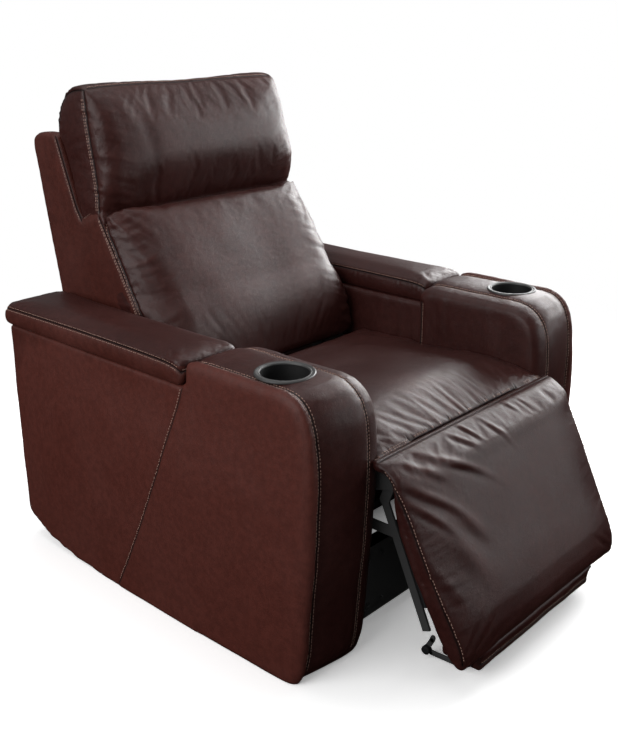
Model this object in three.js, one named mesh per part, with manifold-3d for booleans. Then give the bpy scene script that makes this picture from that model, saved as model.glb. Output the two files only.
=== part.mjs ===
// Cinema recliner seat: a power recliner with storage arms and cup holders. The footrest swings up
// with a fold-out flipper, the back reclines and the headrest tilts.
// Millimetres, Z up. X runs across with the sitter's left at +X, and Y runs from front to rear.
// Outlines are written in the Y and Z plane, from the floor corner at the front of the arms.
import * as THREE from "three";
import { mergeVertices } from "three/addons/utils/BufferGeometryUtils.js";
import Module from "manifold-3d";

const wasm = await Module();
wasm.setup();

// Fits shared by all the pieces
const fit = {
  seat: 0.3, // between pieces that touch
  pinPlay: 0.5, // round a pin in its hole
  linkSpacing: 1.5, // between plates that swing past each other
  overrun: 4, // how far a cutting tool passes through
};

// The two padded arms
const arm = {
  outer: 462.5,
  inner: 278.5,
  rearInner: 312,
  height: 589,
  depth: 890,
  foot: 4,
  outerThickness: 20,
  innerThickness: 21,
  topThickness: 35,
  frontThickness: 32,
  rearThickness: 20,
  frontCrown: 14,
  edgeRound: 6,
  lidStart: 277,
  panelTop: 530,
  rearCornerRise: 56,
};
// The front edge of the side panels, as shares of the arm's depth and height
const armFrontShares = [
  [0, 0], [-0.019, 0.104], [-0.03, 0.314], [-0.042, 0.513],
  [-0.045, 0.698], [-0.03, 0.868], [-0.006, 0.961], [0.044, 1],
];
// The bottom edge rises towards the rear: shares of the depth, and of the rear corner's rise
const armBottomShares = [[0.59, 0], [0.75, 0.07], [0.9, 0.4], [0.985, 1]];

const baseRail = { bottom: 30, top: 66, start: 28, rearGap: 90 };
const glide = { radius: 18, frontY: 80, rearGap: 150 };
// The cup holder's place and ring follow the width of the arm's top.
const cup = {
  acrossShare: 0.62,
  ringShare: 0.38,
  y: 88.6,
  ringWidth: 10.4,
  wall: 1.8,
  ringThickness: 3,
  depth: 74,
  floor: 2,
};
const bin = { start: 300, rearGap: 40, depth: 160, wall: 4 };
const lid = { inner: 320, start: 279, overhang: 10, edgeTop: 583, crown: 17, frontTuck: 13, corner: 12 };
const lidHinge = { leaf: 1.5, barrel: 2.5, leafWidth: 16, endInset: 30 };

// The steel chassis and its mechanism
const frontRail = {
  thickness: 25,
  bottom: 40,
  top: 200,
  slotX: -120,
  slotZ: 124,
  slotWidth: 26,
  slotHeight: 7,
};
const middleRail = { start: 385, thickness: 22, bottom: 70, top: 290 };
const rearRail = { rearGap: 90, thickness: 25, bottom: 50, top: 150 };
const plate = { thickness: 4, earRadius: 15, rearRadius: 19 };
const link = { thickness: 4, halfWidth: 11, pinRadius: 5 };
const tube = { radius: 10 };

// Footrest: everything hangs on the hinge under the seat's front lip
const hinge = { y: -75, z: 385, pinRadius: 6 };
const pad = {
  slope: 65.5, // degrees below level in the photographed pose
  face: 51, // from the hinge line to the padded face
  back: 19, // from the hinge line to the back of the pad
  start: 80,
  taper: 250,
  end: 370,
  halfWidth: 310,
  crown: 12,
  edgeDraw: 20,
};
const roll = { end: 40, rearAngle: 155, halfWidth: 253.5, faceCrown: 5 };
const restBar = { offset: 33, halfHeight: 9, end: 300, thickness: 5 };
const restBoard = { thickness: 12, end: 255, halfWidth: 250, runnerStart: 165 };
const coupler = { drop: 104.6, length: 150 };
const driveArm = { length: 140 };
const crank = { radius: 150, pinRadius: 8, thickness: 5 };
// How far the footrest swings from the photographed pose, in degrees
const travel = { footClosed: -24, footOpen: 61 };
const flipper = {
  hingeAlong: 374.7,
  hingeOff: 29.4,
  turn: 245.5,
  ahead: 3.5,
  behind: 90,
  near: 4,
  far: 38,
  noseRadius: 14,
  halfWidth: 220,
  barrel: 5,
  bracketThickness: 5,
  bracketFar: 22,
  bracketSeat: 1.5,
};

// Seat
const seat = {
  halfWidth: 277,
  lowerHalfWidth: 254,
  stepWidth: 2,
  step: 421,
  deckTop: 320,
  deckThickness: 20,
  rear: 468,
  lip: 4,
  crown: 8,
  pocketGap: 3,
  deckFront: -20,
  deckWide: 140,
  pocketEnd: 220,
  lipAngle: 100,
};
// Top line of the seat: heights above the deck's top at the lip, behind it and at the rear
const seatTop = { low: 122, high: 142, rear: 118 };
const seatMiddleShare = 0.6;
const seatFullShare = 0.98;

// Back
const back = {
  hingeY: 600,
  hingeZ: 400,
  leverLength: 140,
  halfWidth: 300,
  topHalfWidth: 284,
  crown: 20,
  footY: 485,
  footZ: 447,
  boardLowY: 640,
  boardLowZ: 440,
  boardHighY: 772,
  boardHighZ: 703,
  boardThickness: 15,
  bracketShare: 0.4,
  strapWidth: 40,
  shellThickness: 22,
  shellLowY: 872,
  shellLowZ: 420,
  shellHighY: 971,
  shellHighZ: 928,
  slotLowY: 813,
  slotLowZ: 757,
  slotHighY: 879,
  slotHighZ: 938,
  wingOuter: 298,
};
const head = {
  hingeY: 785,
  hingeZ: 765,
  rollRadius: 55,
  pocketGap: 2,
  edgeDraw: 14,
  halfWidth: 286,
  topHalfWidth: 279,
  frontY: 706,
  rearY: 884,
  top: 1066,
  rodRadius: 6,
  earRadius: 14,
  slotGap: 4,
};
// Where the headrest's roll starts and ends, in degrees round its hinge
const headRoll = { from: -70, to: 20 };

// Power parts
const motor = { radius: 24, length: 96 };
const footDrive = {
  x: -70,
  z: 248,
  tubeRadius: 14,
  rodRadius: 8,
  front: 212,
  rear: 478,
  rodLength: 245,
  slotPlay: 4,
  shift: -2.7,
};
const backDrive = {
  x: 70,
  z: 262,
  tubeRadius: 14,
  rodRadius: 8,
  front: 300,
  rear: 490,
  rodLength: 150,
  slotPlay: 2.5,
  shift: 0,
  slotRise: 40,
};
const fork = { thickness: 8, wall: 7 };
const panel = { y: 160, z: 508, length: 116, height: 34, thickness: 4, corner: 8 };
const button = { radius: 7.5, pitch: 25, count: 4, proud: 2, depth: 4.2, play: 0.4 };
const inlet = { x: -180, z: 96, width: 30, height: 22, depth: 16, wall: 3, hollow: 11 };

const roundSteps = { curve: 14, pin: 24, tube: 28, cup: 36, corner: 5 };
const radians = THREE.MathUtils.degToRad;

// Helpers for solids

function toSolid(geometry) {
  const bare = new THREE.BufferGeometry();
  const source = geometry.index ? geometry.toNonIndexed() : geometry;
  bare.setAttribute("position", source.getAttribute("position").clone());
  const merged = mergeVertices(bare, 1e-3);
  return new wasm.Manifold(
    new wasm.Mesh({
      numProp: 3,
      vertProperties: merged.attributes.position.array,
      triVerts: new Uint32Array(merged.index.array),
    }),
  );
}

function toGeometry(solid) {
  const mesh = solid.getMesh();
  const geometry = new THREE.BufferGeometry();
  geometry.setAttribute("position", new THREE.BufferAttribute(new Float32Array(mesh.vertProperties), 3));
  geometry.setIndex(new THREE.BufferAttribute(new Uint32Array(mesh.triVerts), 1));
  geometry.computeVertexNormals();
  return geometry;
}

function join(first, ...others) {
  return toGeometry(others.reduce((sum, next) => sum.add(toSolid(next)), toSolid(first)));
}

function cut(first, ...tools) {
  return toGeometry(tools.reduce((rest, tool) => rest.subtract(toSolid(tool)), toSolid(first)));
}

function box(xs, ys, zs) {
  const [x0, x1] = [Math.min(...xs), Math.max(...xs)];
  const geometry = new THREE.BoxGeometry(x1 - x0, ys[1] - ys[0], zs[1] - zs[0]);
  return geometry.translate((x0 + x1) / 2, (ys[0] + ys[1]) / 2, (zs[0] + zs[1]) / 2);
}

function shapeOf(points) {
  return new THREE.Shape(points.map(([a, b]) => new THREE.Vector2(a, b)));
}

// A plate whose outline lies in Y and Z, from one X to another, with round holes
function prismX(points, xs, holes = []) {
  const [x0, x1] = [Math.min(...xs), Math.max(...xs)];
  const geometry = new THREE.ExtrudeGeometry(shapeOf(points), { depth: x1 - x0, bevelEnabled: false });
  geometry.applyMatrix4(
    new THREE.Matrix4().set(0, 0, 1, x0, 1, 0, 0, 0, 0, 1, 0, 0, 0, 0, 0, 1),
  );
  const tools = holes.map(({ centre, radius }) => throughX(centre, radius, xs));
  return tools.length ? cut(geometry, ...tools) : geometry;
}

// A slab whose outline lies in X and Y, from one Z to another
function slabZ(points, z0, z1) {
  const geometry = new THREE.ExtrudeGeometry(shapeOf(points), { depth: z1 - z0, bevelEnabled: false });
  return geometry.translate(0, 0, z0);
}

function rodX(centre, radius, xs, steps = roundSteps.pin) {
  const [x0, x1] = [Math.min(...xs), Math.max(...xs)];
  const geometry = new THREE.CylinderGeometry(radius, radius, x1 - x0, steps).rotateZ(Math.PI / 2);
  return geometry.translate((x0 + x1) / 2, centre[0], centre[1]);
}

// A tool for a hole that passes right through a piece
function throughX(centre, radius, xs) {
  return rodX(centre, radius, [Math.min(...xs) - fit.overrun, Math.max(...xs) + fit.overrun]);
}

function rodZ(x, y, radius, z0, z1, steps = roundSteps.tube) {
  const geometry = new THREE.CylinderGeometry(radius, radius, z1 - z0, steps).rotateX(Math.PI / 2);
  return geometry.translate(x, y, (z0 + z1) / 2);
}

function signedArea(points) {
  return points.reduce((sum, [y, z], i) => {
    const [nextY, nextZ] = points[(i + 1) % points.length];
    return sum + y * nextZ - nextY * z;
  }, 0);
}

// A closed solid through outlines of equal length in Y and Z, one at each X. A third value of a
// point widens or narrows the solid there.
function loftX(stations) {
  const rows = [...stations].sort((a, b) => a.x - b.x);
  if (signedArea(rows[0].outline) < 0) rows.forEach((row) => (row.outline = row.outline.toReversed()));
  const count = rows[0].outline.length;
  const position = rows.flatMap(({ x, outline }) =>
    outline.flatMap(([y, z, wide = 1]) => [x * wide, y, z]),
  );
  const index = [];
  for (let r = 0; r + 1 < rows.length; r++)
    for (let i = 0; i < count; i++) {
      const j = (i + 1) % count;
      const [a, b] = [r * count + i, r * count + j];
      index.push(a, b, b + count, a, b + count, a + count);
    }
  const last = (rows.length - 1) * count;
  const cap = (outline) =>
    THREE.ShapeUtils.triangulateShape(outline.map(([a, b]) => new THREE.Vector2(a, b)), []);
  cap(rows[0].outline).forEach(([a, b, c]) => index.push(a, c, b));
  cap(rows.at(-1).outline).forEach(([a, b, c]) => index.push(last + a, last + b, last + c));
  const geometry = new THREE.BufferGeometry();
  geometry.setAttribute("position", new THREE.Float32BufferAttribute(position, 3));
  geometry.setIndex(index);
  return geometry;
}

// Moves each point of a closed outline inwards by its own amount
function inset(points, amount) {
  const sign = Math.sign(signedArea(points));
  return points.map(([y, z, ...rest], i) => {
    const before = points.at(i - 1);
    const after = points[(i + 1) % points.length];
    const along = new THREE.Vector2(after[0] - before[0], after[1] - before[1]).normalize();
    const by = typeof amount === "function" ? amount(i) : amount;
    return [y - along.y * sign * by, z + along.x * sign * by, ...rest];
  });
}

// How full a cushion is at a share of its half width: 1 in the middle, 0 at the seams
function fullness(share) {
  return Math.sqrt(Math.max(0, 1 - Math.abs(share) ** 4));
}

const widthShares = [-1, -0.97, -0.88, -0.7, -0.4, 0, 0.4, 0.7, 0.88, 0.97, 1];

function cushion(halfWidth, outlineAt, centreX = 0) {
  return loftX(
    widthShares.map((share) => ({
      x: centreX + share * halfWidth,
      outline: outlineAt(fullness(share), share),
    })),
  );
}

function arc(centre, radius, fromDegrees, toDegrees, steps) {
  return Array.from({ length: steps + 1 }, (_, i) => {
    const angle = radians(fromDegrees + ((toDegrees - fromDegrees) * i) / steps);
    return [centre[0] - radius * Math.cos(angle), centre[1] + radius * Math.sin(angle)];
  });
}

function smooth(points, steps) {
  const curve = new THREE.SplineCurve(points.map(([a, b]) => new THREE.Vector2(a, b)));
  return curve.getPoints(steps).map((p) => [p.x, p.y]);
}

// Materials

const finish = {
  leather: { color: 0x3f2526, roughness: 0.42, metalness: 0 },
  sideLeather: { color: 0x4a2823, roughness: 0.5, metalness: 0 },
  blackSteel: { color: 0x141414, roughness: 0.45, metalness: 0.6 },
  zinc: { color: 0xb8b8b4, roughness: 0.35, metalness: 0.9 },
  gunmetal: { color: 0x4b4a4a, roughness: 0.3, metalness: 0.9 },
  wood: { color: 0xa78458, roughness: 0.75, metalness: 0 },
  plastic: { color: 0x18181a, roughness: 0.55, metalness: 0 },
  rubber: { color: 0x202020, roughness: 0.9, metalness: 0 },
};

const chair = new THREE.Group();

function add(name, geometry, look) {
  const mesh = new THREE.Mesh(geometry, new THREE.MeshStandardMaterial(finish[look]));
  mesh.name = name;
  chair.add(mesh);
  return mesh;
}

// Arms

const armFront = smooth(
  armFrontShares.map(([y, z]) => [y * arm.depth, arm.foot + z * (arm.height - arm.foot)]),
  roundSteps.curve,
);
const armBottom = armBottomShares.map(([y, z]) => [y * arm.depth, arm.foot + z * arm.rearCornerRise]);

function armFrontAt(z) {
  const above = armFront.findIndex((point) => point[1] >= z);
  if (above <= 0) return armFront[0][0];
  const [low, high] = [armFront[above - 1], armFront[above]];
  return low[0] + ((high[0] - low[0]) * (z - low[1])) / (high[1] - low[1]);
}

// The side of an arm, up to the step where the storage lid starts
function armSide(stepTop, rear) {
  return [
    ...armFront.toReversed(),
    ...armBottom,
    [rear, arm.foot + arm.rearCornerRise + arm.edgeRound],
    [rear, stepTop],
    [arm.lidStart, stepTop],
    [arm.lidStart, arm.height],
  ];
}

function heights(from, to, steps) {
  return Array.from({ length: steps + 1 }, (_, i) => from + ((to - from) * i) / steps);
}

function addArm(side, name) {
  const across = (...distances) => distances.map((distance) => side * distance);
  const coverInner = arm.inner + arm.innerThickness + fit.seat;
  const coverOuter = arm.outer - arm.outerThickness - fit.seat;
  const coverWidth = coverOuter - coverInner;
  const rearInner = arm.rearInner + arm.innerThickness + fit.seat;
  const split = arm.height - arm.topThickness;

  const outline = armSide(arm.panelTop, arm.depth);
  const softEdge = inset(outline, arm.edgeRound);
  add(
    name + "_arm_outer_panel",
    loftX([
      { x: side * (arm.outer - arm.outerThickness), outline },
      { x: side * (arm.outer - arm.edgeRound), outline },
      { x: side * arm.outer, outline: softEdge },
    ]),
    "sideLeather",
  );

  const innerTop = arm.panelTop + lidHinge.leaf + 2 * lidHinge.barrel;
  const frontHalf = prismX(
    [
      ...armFront.toReversed(),
      [arm.lidStart, arm.foot],
      [arm.lidStart, arm.height],
    ],
    across(arm.inner, arm.inner + arm.innerThickness),
  );
  const rearHalf = prismX(
    [
      [arm.lidStart - arm.innerThickness, arm.foot],
      ...armBottom.slice(0, -1),
      [arm.depth - arm.rearThickness - fit.seat, armBottom.at(-1)[1]],
      [arm.depth - arm.rearThickness - fit.seat, innerTop],
      [arm.lidStart - arm.innerThickness, innerTop],
    ],
    across(arm.rearInner, arm.rearInner + arm.innerThickness),
  );
  const jog = box(
    across(arm.inner, arm.rearInner + arm.innerThickness),
    [arm.lidStart - arm.innerThickness, arm.lidStart],
    [arm.foot, split - fit.seat],
  );
  add(name + "_arm_inner_panel", join(frontHalf, jog, rearHalf), "leather");

  const top = heights(split, arm.height, roundSteps.corner).map((z) => [armFrontAt(z), z]);
  const cupX = side * (coverInner + cup.acrossShare * coverWidth);
  const ringRadius = cup.ringShare * coverWidth;
  const openRadius = ringRadius - cup.ringWidth;
  const topPanel = prismX(
    [...top, [arm.lidStart - fit.seat, arm.height], [arm.lidStart - fit.seat, split]].reverse(),
    across(coverInner, coverOuter),
  );
  const cupHole = rodZ(
    cupX, cup.y, openRadius + cup.wall + fit.seat,
    split - fit.overrun, arm.height + fit.overrun, roundSteps.cup,
  );
  add(name + "_arm_top_panel", cut(topPanel, cupHole), "leather");

  const middle = (coverInner + coverOuter) / 2;
  const frontHeights = heights(arm.foot, split - fit.seat, roundSteps.curve);
  add(
    name + "_arm_front_panel",
    cushion(
      coverWidth / 2,
      (full) => [
        ...frontHeights.map((z) => {
          const share = (z - arm.foot) / (split - arm.foot);
          return [armFrontAt(z) - arm.frontCrown * full * Math.sin(Math.PI * share ** 0.6), z];
        }),
        ...frontHeights.toReversed().map((z) => [armFrontAt(z) + arm.frontThickness, z]),
      ].reverse(),
      side * middle,
    ),
    "leather",
  );

  add(
    name + "_arm_rear_panel",
    box(
      across(arm.rearInner, coverOuter),
      [arm.depth - arm.rearThickness, arm.depth],
      [arm.foot + arm.rearCornerRise + arm.edgeRound, arm.panelTop],
    ),
    "sideLeather",
  );
  add(
    name + "_arm_base_rail",
    box(
      across(rearInner, coverOuter),
      [baseRail.start, arm.depth - baseRail.rearGap],
      [baseRail.bottom, baseRail.top],
    ),
    "wood",
  );
  const glideX = (side * (rearInner + coverOuter)) / 2;
  [["front", glide.frontY], ["rear", arm.depth - glide.rearGap]].forEach(([place, y]) =>
    add(
      name + "_" + place + "_glide",
      rodZ(glideX, y, glide.radius, 0, baseRail.bottom - fit.seat),
      "rubber",
    ),
  );

  const ringTop = arm.height + fit.seat + cup.ringThickness;
  const cupOuter = openRadius + cup.wall;
  const cupProfile = [
    [0, ringTop - cup.depth],
    [cupOuter, ringTop - cup.depth],
    [cupOuter, arm.height + fit.seat],
    [ringRadius, arm.height + fit.seat],
    [ringRadius, ringTop - cup.ringThickness / 2],
    [ringRadius - cup.ringThickness / 2, ringTop],
    [openRadius, ringTop],
    [openRadius, ringTop - cup.depth + cup.floor],
    [0, ringTop - cup.depth + cup.floor],
  ];
  add(
    name + "_cup_holder",
    new THREE.LatheGeometry(cupProfile.map(([r, z]) => new THREE.Vector2(r, z)), roundSteps.cup)
      .rotateX(Math.PI / 2)
      .translate(cupX, cup.y, 0),
    "gunmetal",
  );

  const binTop = arm.panelTop - fit.seat;
  const binEnd = arm.depth - bin.rearGap;
  const tray = box(across(rearInner, coverOuter), [bin.start, binEnd], [binTop - bin.depth, binTop]);
  const hollow = box(
    across(rearInner + bin.wall, coverOuter - bin.wall),
    [bin.start + bin.wall, binEnd - bin.wall],
    [binTop - bin.depth + bin.wall, binTop + fit.overrun],
  );
  add(name + "_storage_bin", cut(tray, hollow), "plastic");

  const lidBottom = innerTop + fit.seat;
  const lidEnd = arm.depth + lid.overhang;
  add(
    name + "_storage_lid",
    cushion(
      (arm.outer - lid.inner) / 2,
      (full) => {
        const topZ = lid.edgeTop + lid.crown * full;
        return [
          [lid.start + lid.frontTuck, lidBottom],
          [lidEnd - lid.corner, lidBottom],
          [lidEnd, lidBottom + lid.corner],
          ...arc([lidEnd - lid.corner, topZ - lid.corner], lid.corner, 180, 90, roundSteps.corner),
          ...arc([lid.start + 2 * lid.corner, topZ - 2 * lid.corner], 2 * lid.corner, 90, 0, roundSteps.corner),
        ];
      },
      (side * (arm.outer + lid.inner)) / 2,
    ),
    "leather",
  );

  const hingeX = arm.outer - lidHinge.barrel;
  const hingeZ = arm.panelTop + lidHinge.leaf + lidHinge.barrel;
  const hingeEnds = [lid.start + lidHinge.endInset, lidEnd - lidHinge.endInset];
  const barrel = new THREE.CylinderGeometry(
    lidHinge.barrel, lidHinge.barrel, hingeEnds[1] - hingeEnds[0], roundSteps.pin / 2,
  ).translate(side * hingeX, (hingeEnds[0] + hingeEnds[1]) / 2, hingeZ);
  const leaf = box(
    across(hingeX - lidHinge.leafWidth, hingeX),
    hingeEnds,
    [arm.panelTop + fit.seat, arm.panelTop + lidHinge.leaf + fit.seat],
  );
  add(name + "_lid_hinge", join(leaf, barrel), "zinc");
}

addArm(-1, "right");
addArm(1, "left");

// Places on the footrest: along is measured down the pad from the hinge, off towards its face

const slope = radians(pad.slope);
const hingePoint = [hinge.y, hinge.z];

function onPad(along, off) {
  return [
    hinge.y - along * Math.cos(slope) - off * Math.sin(slope),
    hinge.z - along * Math.sin(slope) + off * Math.cos(slope),
  ];
}

// Levels across the mechanism, from the arm's inner face inwards
const levels = { plate: [arm.inner - fit.seat - plate.thickness, arm.inner - fit.seat] };
function levelInside(outer, thickness) {
  return [outer[0] - fit.linkSpacing - thickness, outer[0] - fit.linkSpacing];
}
levels.bar = levelInside(levels.plate, restBar.thickness);
levels.coupler = levelInside(levels.bar, link.thickness);
levels.swing = levelInside(levels.coupler, link.thickness);

function mirrored(side, level) {
  return level.map((x) => side * x);
}

// A flat link with round ends and a hole at each end that takes a pin
function linkOutline(from, to, halfWidth) {
  const angle = THREE.MathUtils.radToDeg(Math.atan2(to[1] - from[1], from[0] - to[0]));
  return [
    ...arc(from, halfWidth, angle + 90, angle + 270, roundSteps.pin / 2),
    ...arc(to, halfWidth, angle - 90, angle + 90, roundSteps.pin / 2),
  ];
}

// Places of the four pivots of each footrest linkage
const swingPivot = [hinge.y + coupler.length, hinge.z];
const padPivot = onPad(coupler.drop, -restBar.offset);
const armPivot = [padPivot[0] + coupler.length, padPivot[1]];
const driveAngle = THREE.MathUtils.radToDeg(
  Math.atan2(armPivot[1] - swingPivot[1], swingPivot[0] - armPivot[0]),
);
const tubeCentre = arc(swingPivot, driveArm.length, driveAngle, driveAngle, 1)[0];
const backPivot = [back.hingeY, back.hingeZ];

// Chassis

const betweenArms = [-arm.inner + fit.seat, arm.inner - fit.seat];
const betweenRearArms = [-arm.rearInner + fit.seat, arm.rearInner - fit.seat];

function rodY(x, z, radius, ys, steps = roundSteps.tube) {
  const geometry = new THREE.CylinderGeometry(radius, radius, ys[1] - ys[0], steps);
  return geometry.translate(x, (ys[0] + ys[1]) / 2, z);
}

const frontRailBody = box(betweenArms, [0, frontRail.thickness], [frontRail.bottom, frontRail.top]);
const frontRailSlot = box(
  [frontRail.slotX - frontRail.slotWidth / 2, frontRail.slotX + frontRail.slotWidth / 2],
  [-fit.overrun, frontRail.thickness + fit.overrun],
  [frontRail.slotZ - frontRail.slotHeight / 2, frontRail.slotZ + frontRail.slotHeight / 2],
);
add("front_cross_rail", cut(frontRailBody, frontRailSlot), "blackSteel");

const middleRailYs = [middleRail.start, middleRail.start + middleRail.thickness];
add(
  "middle_cross_rail",
  cut(
    box(betweenRearArms, middleRailYs, [middleRail.bottom, middleRail.top]),
    ...[footDrive, backDrive].map((drive) =>
      rodY(drive.x, drive.z, drive.tubeRadius + fit.seat, [
        middleRailYs[0] - fit.overrun,
        middleRailYs[1] + fit.overrun,
      ]),
    ),
  ),
  "blackSteel",
);
const rearRailStart = arm.depth - rearRail.rearGap;
const rearRailYs = [rearRailStart, rearRailStart + rearRail.thickness];
add("rear_cross_rail", box(betweenRearArms, rearRailYs, [rearRail.bottom, rearRail.top]), "blackSteel");

const inletZs = [inlet.z - inlet.height / 2, inlet.z + inlet.height / 2];
const inletYs = [rearRailYs[1] + fit.seat, rearRailYs[1] + fit.seat + inlet.depth];
add(
  "power_inlet",
  cut(
    box([inlet.x - inlet.width / 2, inlet.x + inlet.width / 2], inletYs, inletZs),
    box(
      [inlet.x - inlet.width / 2 + inlet.wall, inlet.x + inlet.width / 2 - inlet.wall],
      [inletYs[1] - inlet.hollow, inletYs[1] + fit.overrun],
      [inletZs[0] + inlet.wall, inletZs[1] - inlet.wall],
    ),
  ),
  "plastic",
);

const deckZs = [seat.deckTop - seat.deckThickness, seat.deckTop];

function addSidePlate(side, name) {
  const outline = [
    ...arc(hingePoint, plate.earRadius, -90, 90, roundSteps.pin / 2),
    ...arc(backPivot, plate.rearRadius, 90, 270, roundSteps.pin / 2),
    [seat.rear, deckZs[0]],
    [seat.deckWide, deckZs[0]],
  ];
  const body = prismX(outline, mirrored(side, levels.plate));
  const pins = [
    [hingePoint, hinge.pinRadius, levels.bar],
    [swingPivot, link.pinRadius, levels.swing],
    [backPivot, hinge.pinRadius, levels.bar],
  ].map(([centre, radius, level]) => rodX(centre, radius, mirrored(side, [level[0], levels.plate[1]])));
  add(name + "_side_plate", join(body, ...pins), "blackSteel");
}

addSidePlate(-1, "right");
addSidePlate(1, "left");

const deckHalf = seat.lowerHalfWidth;
const deckWideHalf = levels.plate[0] - fit.seat;
add(
  "seat_deck",
  slabZ(
    [
      [-deckHalf, seat.deckFront],
      [deckHalf, seat.deckFront],
      [deckHalf, seat.deckWide],
      [deckWideHalf, seat.deckWide],
      [deckWideHalf, seat.rear],
      [-deckWideHalf, seat.rear],
      [-deckWideHalf, seat.deckWide],
      [-deckHalf, seat.deckWide],
    ],
    ...deckZs,
  ),
  "wood",
);

// The seat's front is hollowed round the footrest hinge, so the roll turns inside it.
const seatBase = seat.deckTop + fit.seat;
const pocket = pad.face + seat.pocketGap;

function seatOutline(full, share) {
  const wide = Math.abs(share) >= stepShare;
  const bottom = wide ? seat.step : seatBase;
  const rise = THREE.MathUtils.radToDeg(Math.asin((seat.step - hinge.z) / pocket));
  const hollowStart = wide ? 180 - rise : seat.pocketEnd;
  const hollow = arc(hingePoint, pocket, hollowStart, seat.lipAngle, 2 * roundSteps.corner);
  const lip = hollow.at(-1);
  const lift = seat.crown * full;
  const top = smooth(
    [
      [lip[0], lip[1] + seat.lip],
      [lip[0] / 2, seatBase + seatTop.low + (seatTop.high - seatTop.low) / 2 + lift / 2],
      [-hinge.y, seatBase + seatTop.high + lift],
      [seat.rear * seatMiddleShare, seatBase + (seatTop.high + seatTop.rear) / 2 + lift],
      [seat.rear, seatBase + seatTop.rear],
    ],
    roundSteps.curve,
  );
  return [[hollow[0][0], bottom], ...hollow, ...top, [seat.rear, bottom]];
}

const lowerShare = seat.lowerHalfWidth / seat.halfWidth;
const stepShare = (seat.lowerHalfWidth + seat.stepWidth) / seat.halfWidth;
const halfSeatShares = [0.3 * lowerShare, 0.65 * lowerShare, lowerShare, stepShare, (1 + stepShare) / 2, 1];
const seatShares = [...halfSeatShares.map((share) => -share), 0, ...halfSeatShares];
add(
  "seat_cushion",
  loftX(
    seatShares.map((share) => ({
      x: share * seat.halfWidth,
      outline: seatOutline(fullness(share * seatFullShare), share),
    })),
  ),
  "leather",
);

// Footrest

function addFootrestBar(side, name) {
  const low = -restBar.offset - restBar.halfHeight;
  const high = -restBar.offset + restBar.halfHeight;
  const elbow = onPad(restBar.offset, -restBar.offset);
  const level = mirrored(side, levels.bar);
  const neck = prismX(linkOutline(hingePoint, elbow, link.halfWidth), level);
  const band = prismX(
    [
      onPad(restBar.offset, low),
      onPad(restBar.end, low),
      onPad(restBar.end, high),
      onPad(restBar.offset, high),
    ],
    level,
  );
  const hole = throughX(hingePoint, hinge.pinRadius + fit.pinPlay, level);
  const pin = rodX(padPivot, link.pinRadius, mirrored(side, [levels.coupler[0], levels.bar[1]]));
  add(name + "_footrest_bar", cut(join(neck, band, pin), hole), "blackSteel");
}

addFootrestBar(-1, "right");
addFootrestBar(1, "left");

const rollFace = 90 - pad.slope;
add(
  "footrest_roll",
  cushion(roll.halfWidth, (full) => [
    ...arc(hingePoint, pad.face, roll.rearAngle, rollFace, 2 * roundSteps.corner),
    onPad(roll.end / 2, pad.face),
    onPad(roll.end, pad.face - roll.faceCrown * (1 - full)),
    onPad(roll.end, -pad.back),
  ]),
  "leather",
);

// Points of the pad's lower end, as along and off: shares of the taper's length and of the face
const padEndShares = [[0.8, 0.95], [0.95, 0.83], [1, 0.65], [0.965, 0.49]];

function padOutline(full) {
  const face = pad.face + pad.crown * (full - 1);
  const draw = pad.edgeDraw * (1 - full);
  const taper = pad.end - pad.taper;
  return [
    onPad(pad.start, -pad.back + draw),
    onPad(pad.start, face - draw / 2),
    ...heights(pad.start + pad.crown, pad.taper, roundSteps.corner).map((along) => onPad(along, face)),
    ...padEndShares.map(([a, b]) => onPad(pad.taper + taper * a, face * b)),
    onPad(pad.taper, -pad.back + draw),
  ];
}

add("footrest_pad", cushion(pad.halfWidth, padOutline), "leather");

const boardOuter = levels.bar[0] - fit.seat;
const boardFace = -pad.back - fit.seat;

function boardPart(start, end, halfWidth) {
  const outline = [
    onPad(start, boardFace),
    onPad(end, boardFace),
    onPad(end, boardFace - restBoard.thickness),
    onPad(start, boardFace - restBoard.thickness),
  ];
  return prismX(outline, [-halfWidth, halfWidth]);
}

// The board's wide end runs between the two bars.
add(
  "footrest_board",
  join(
    boardPart(pad.start, restBoard.end, restBoard.halfWidth),
    boardPart(restBoard.runnerStart, restBoard.end, boardOuter),
  ),
  "wood",
);

// The flipper lies level under the pad's end: behind runs from its hinge to the rear
const flipperHinge = onPad(flipper.hingeAlong, flipper.hingeOff);
const flipperTurn = radians(flipper.turn - pad.slope);

function onFlipper(behind, below) {
  const [along, under] = [flipperTurn, flipperTurn + Math.PI / 2];
  return [
    flipperHinge[0] - behind * Math.cos(along) - below * Math.cos(under),
    flipperHinge[1] + behind * Math.sin(along) + below * Math.sin(under),
  ];
}

const flipperTip = onFlipper(flipper.noseRadius - flipper.ahead, flipper.far - flipper.noseRadius);
const flipperBody = prismX(
  [
    onFlipper(flipper.behind, flipper.near),
    onFlipper(-flipper.ahead, flipper.near),
    ...arc(flipperTip, flipper.noseRadius, 0, -90, roundSteps.corner),
    onFlipper(flipper.behind, flipper.far),
  ],
  [-flipper.halfWidth, flipper.halfWidth],
);
const flipperBrackets = [-1, 1].map((side) =>
  prismX(
    [
      onFlipper(flipper.behind, flipper.bracketFar / 2),
      onFlipper(flipper.noseRadius, flipper.near + flipper.bracketThickness),
      onFlipper(flipper.noseRadius, flipper.bracketFar),
      onFlipper(flipper.behind, flipper.bracketFar + flipper.bracketThickness),
    ],
    mirrored(side, [
      flipper.halfWidth - flipper.bracketSeat,
      flipper.halfWidth + flipper.bracketThickness,
    ]),
  ),
);
const flipperBarrel = rodX(flipperHinge, flipper.barrel, [-flipper.halfWidth, flipper.halfWidth]);
add("flipper_board", join(flipperBody, flipperBarrel, ...flipperBrackets), "leather");

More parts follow.
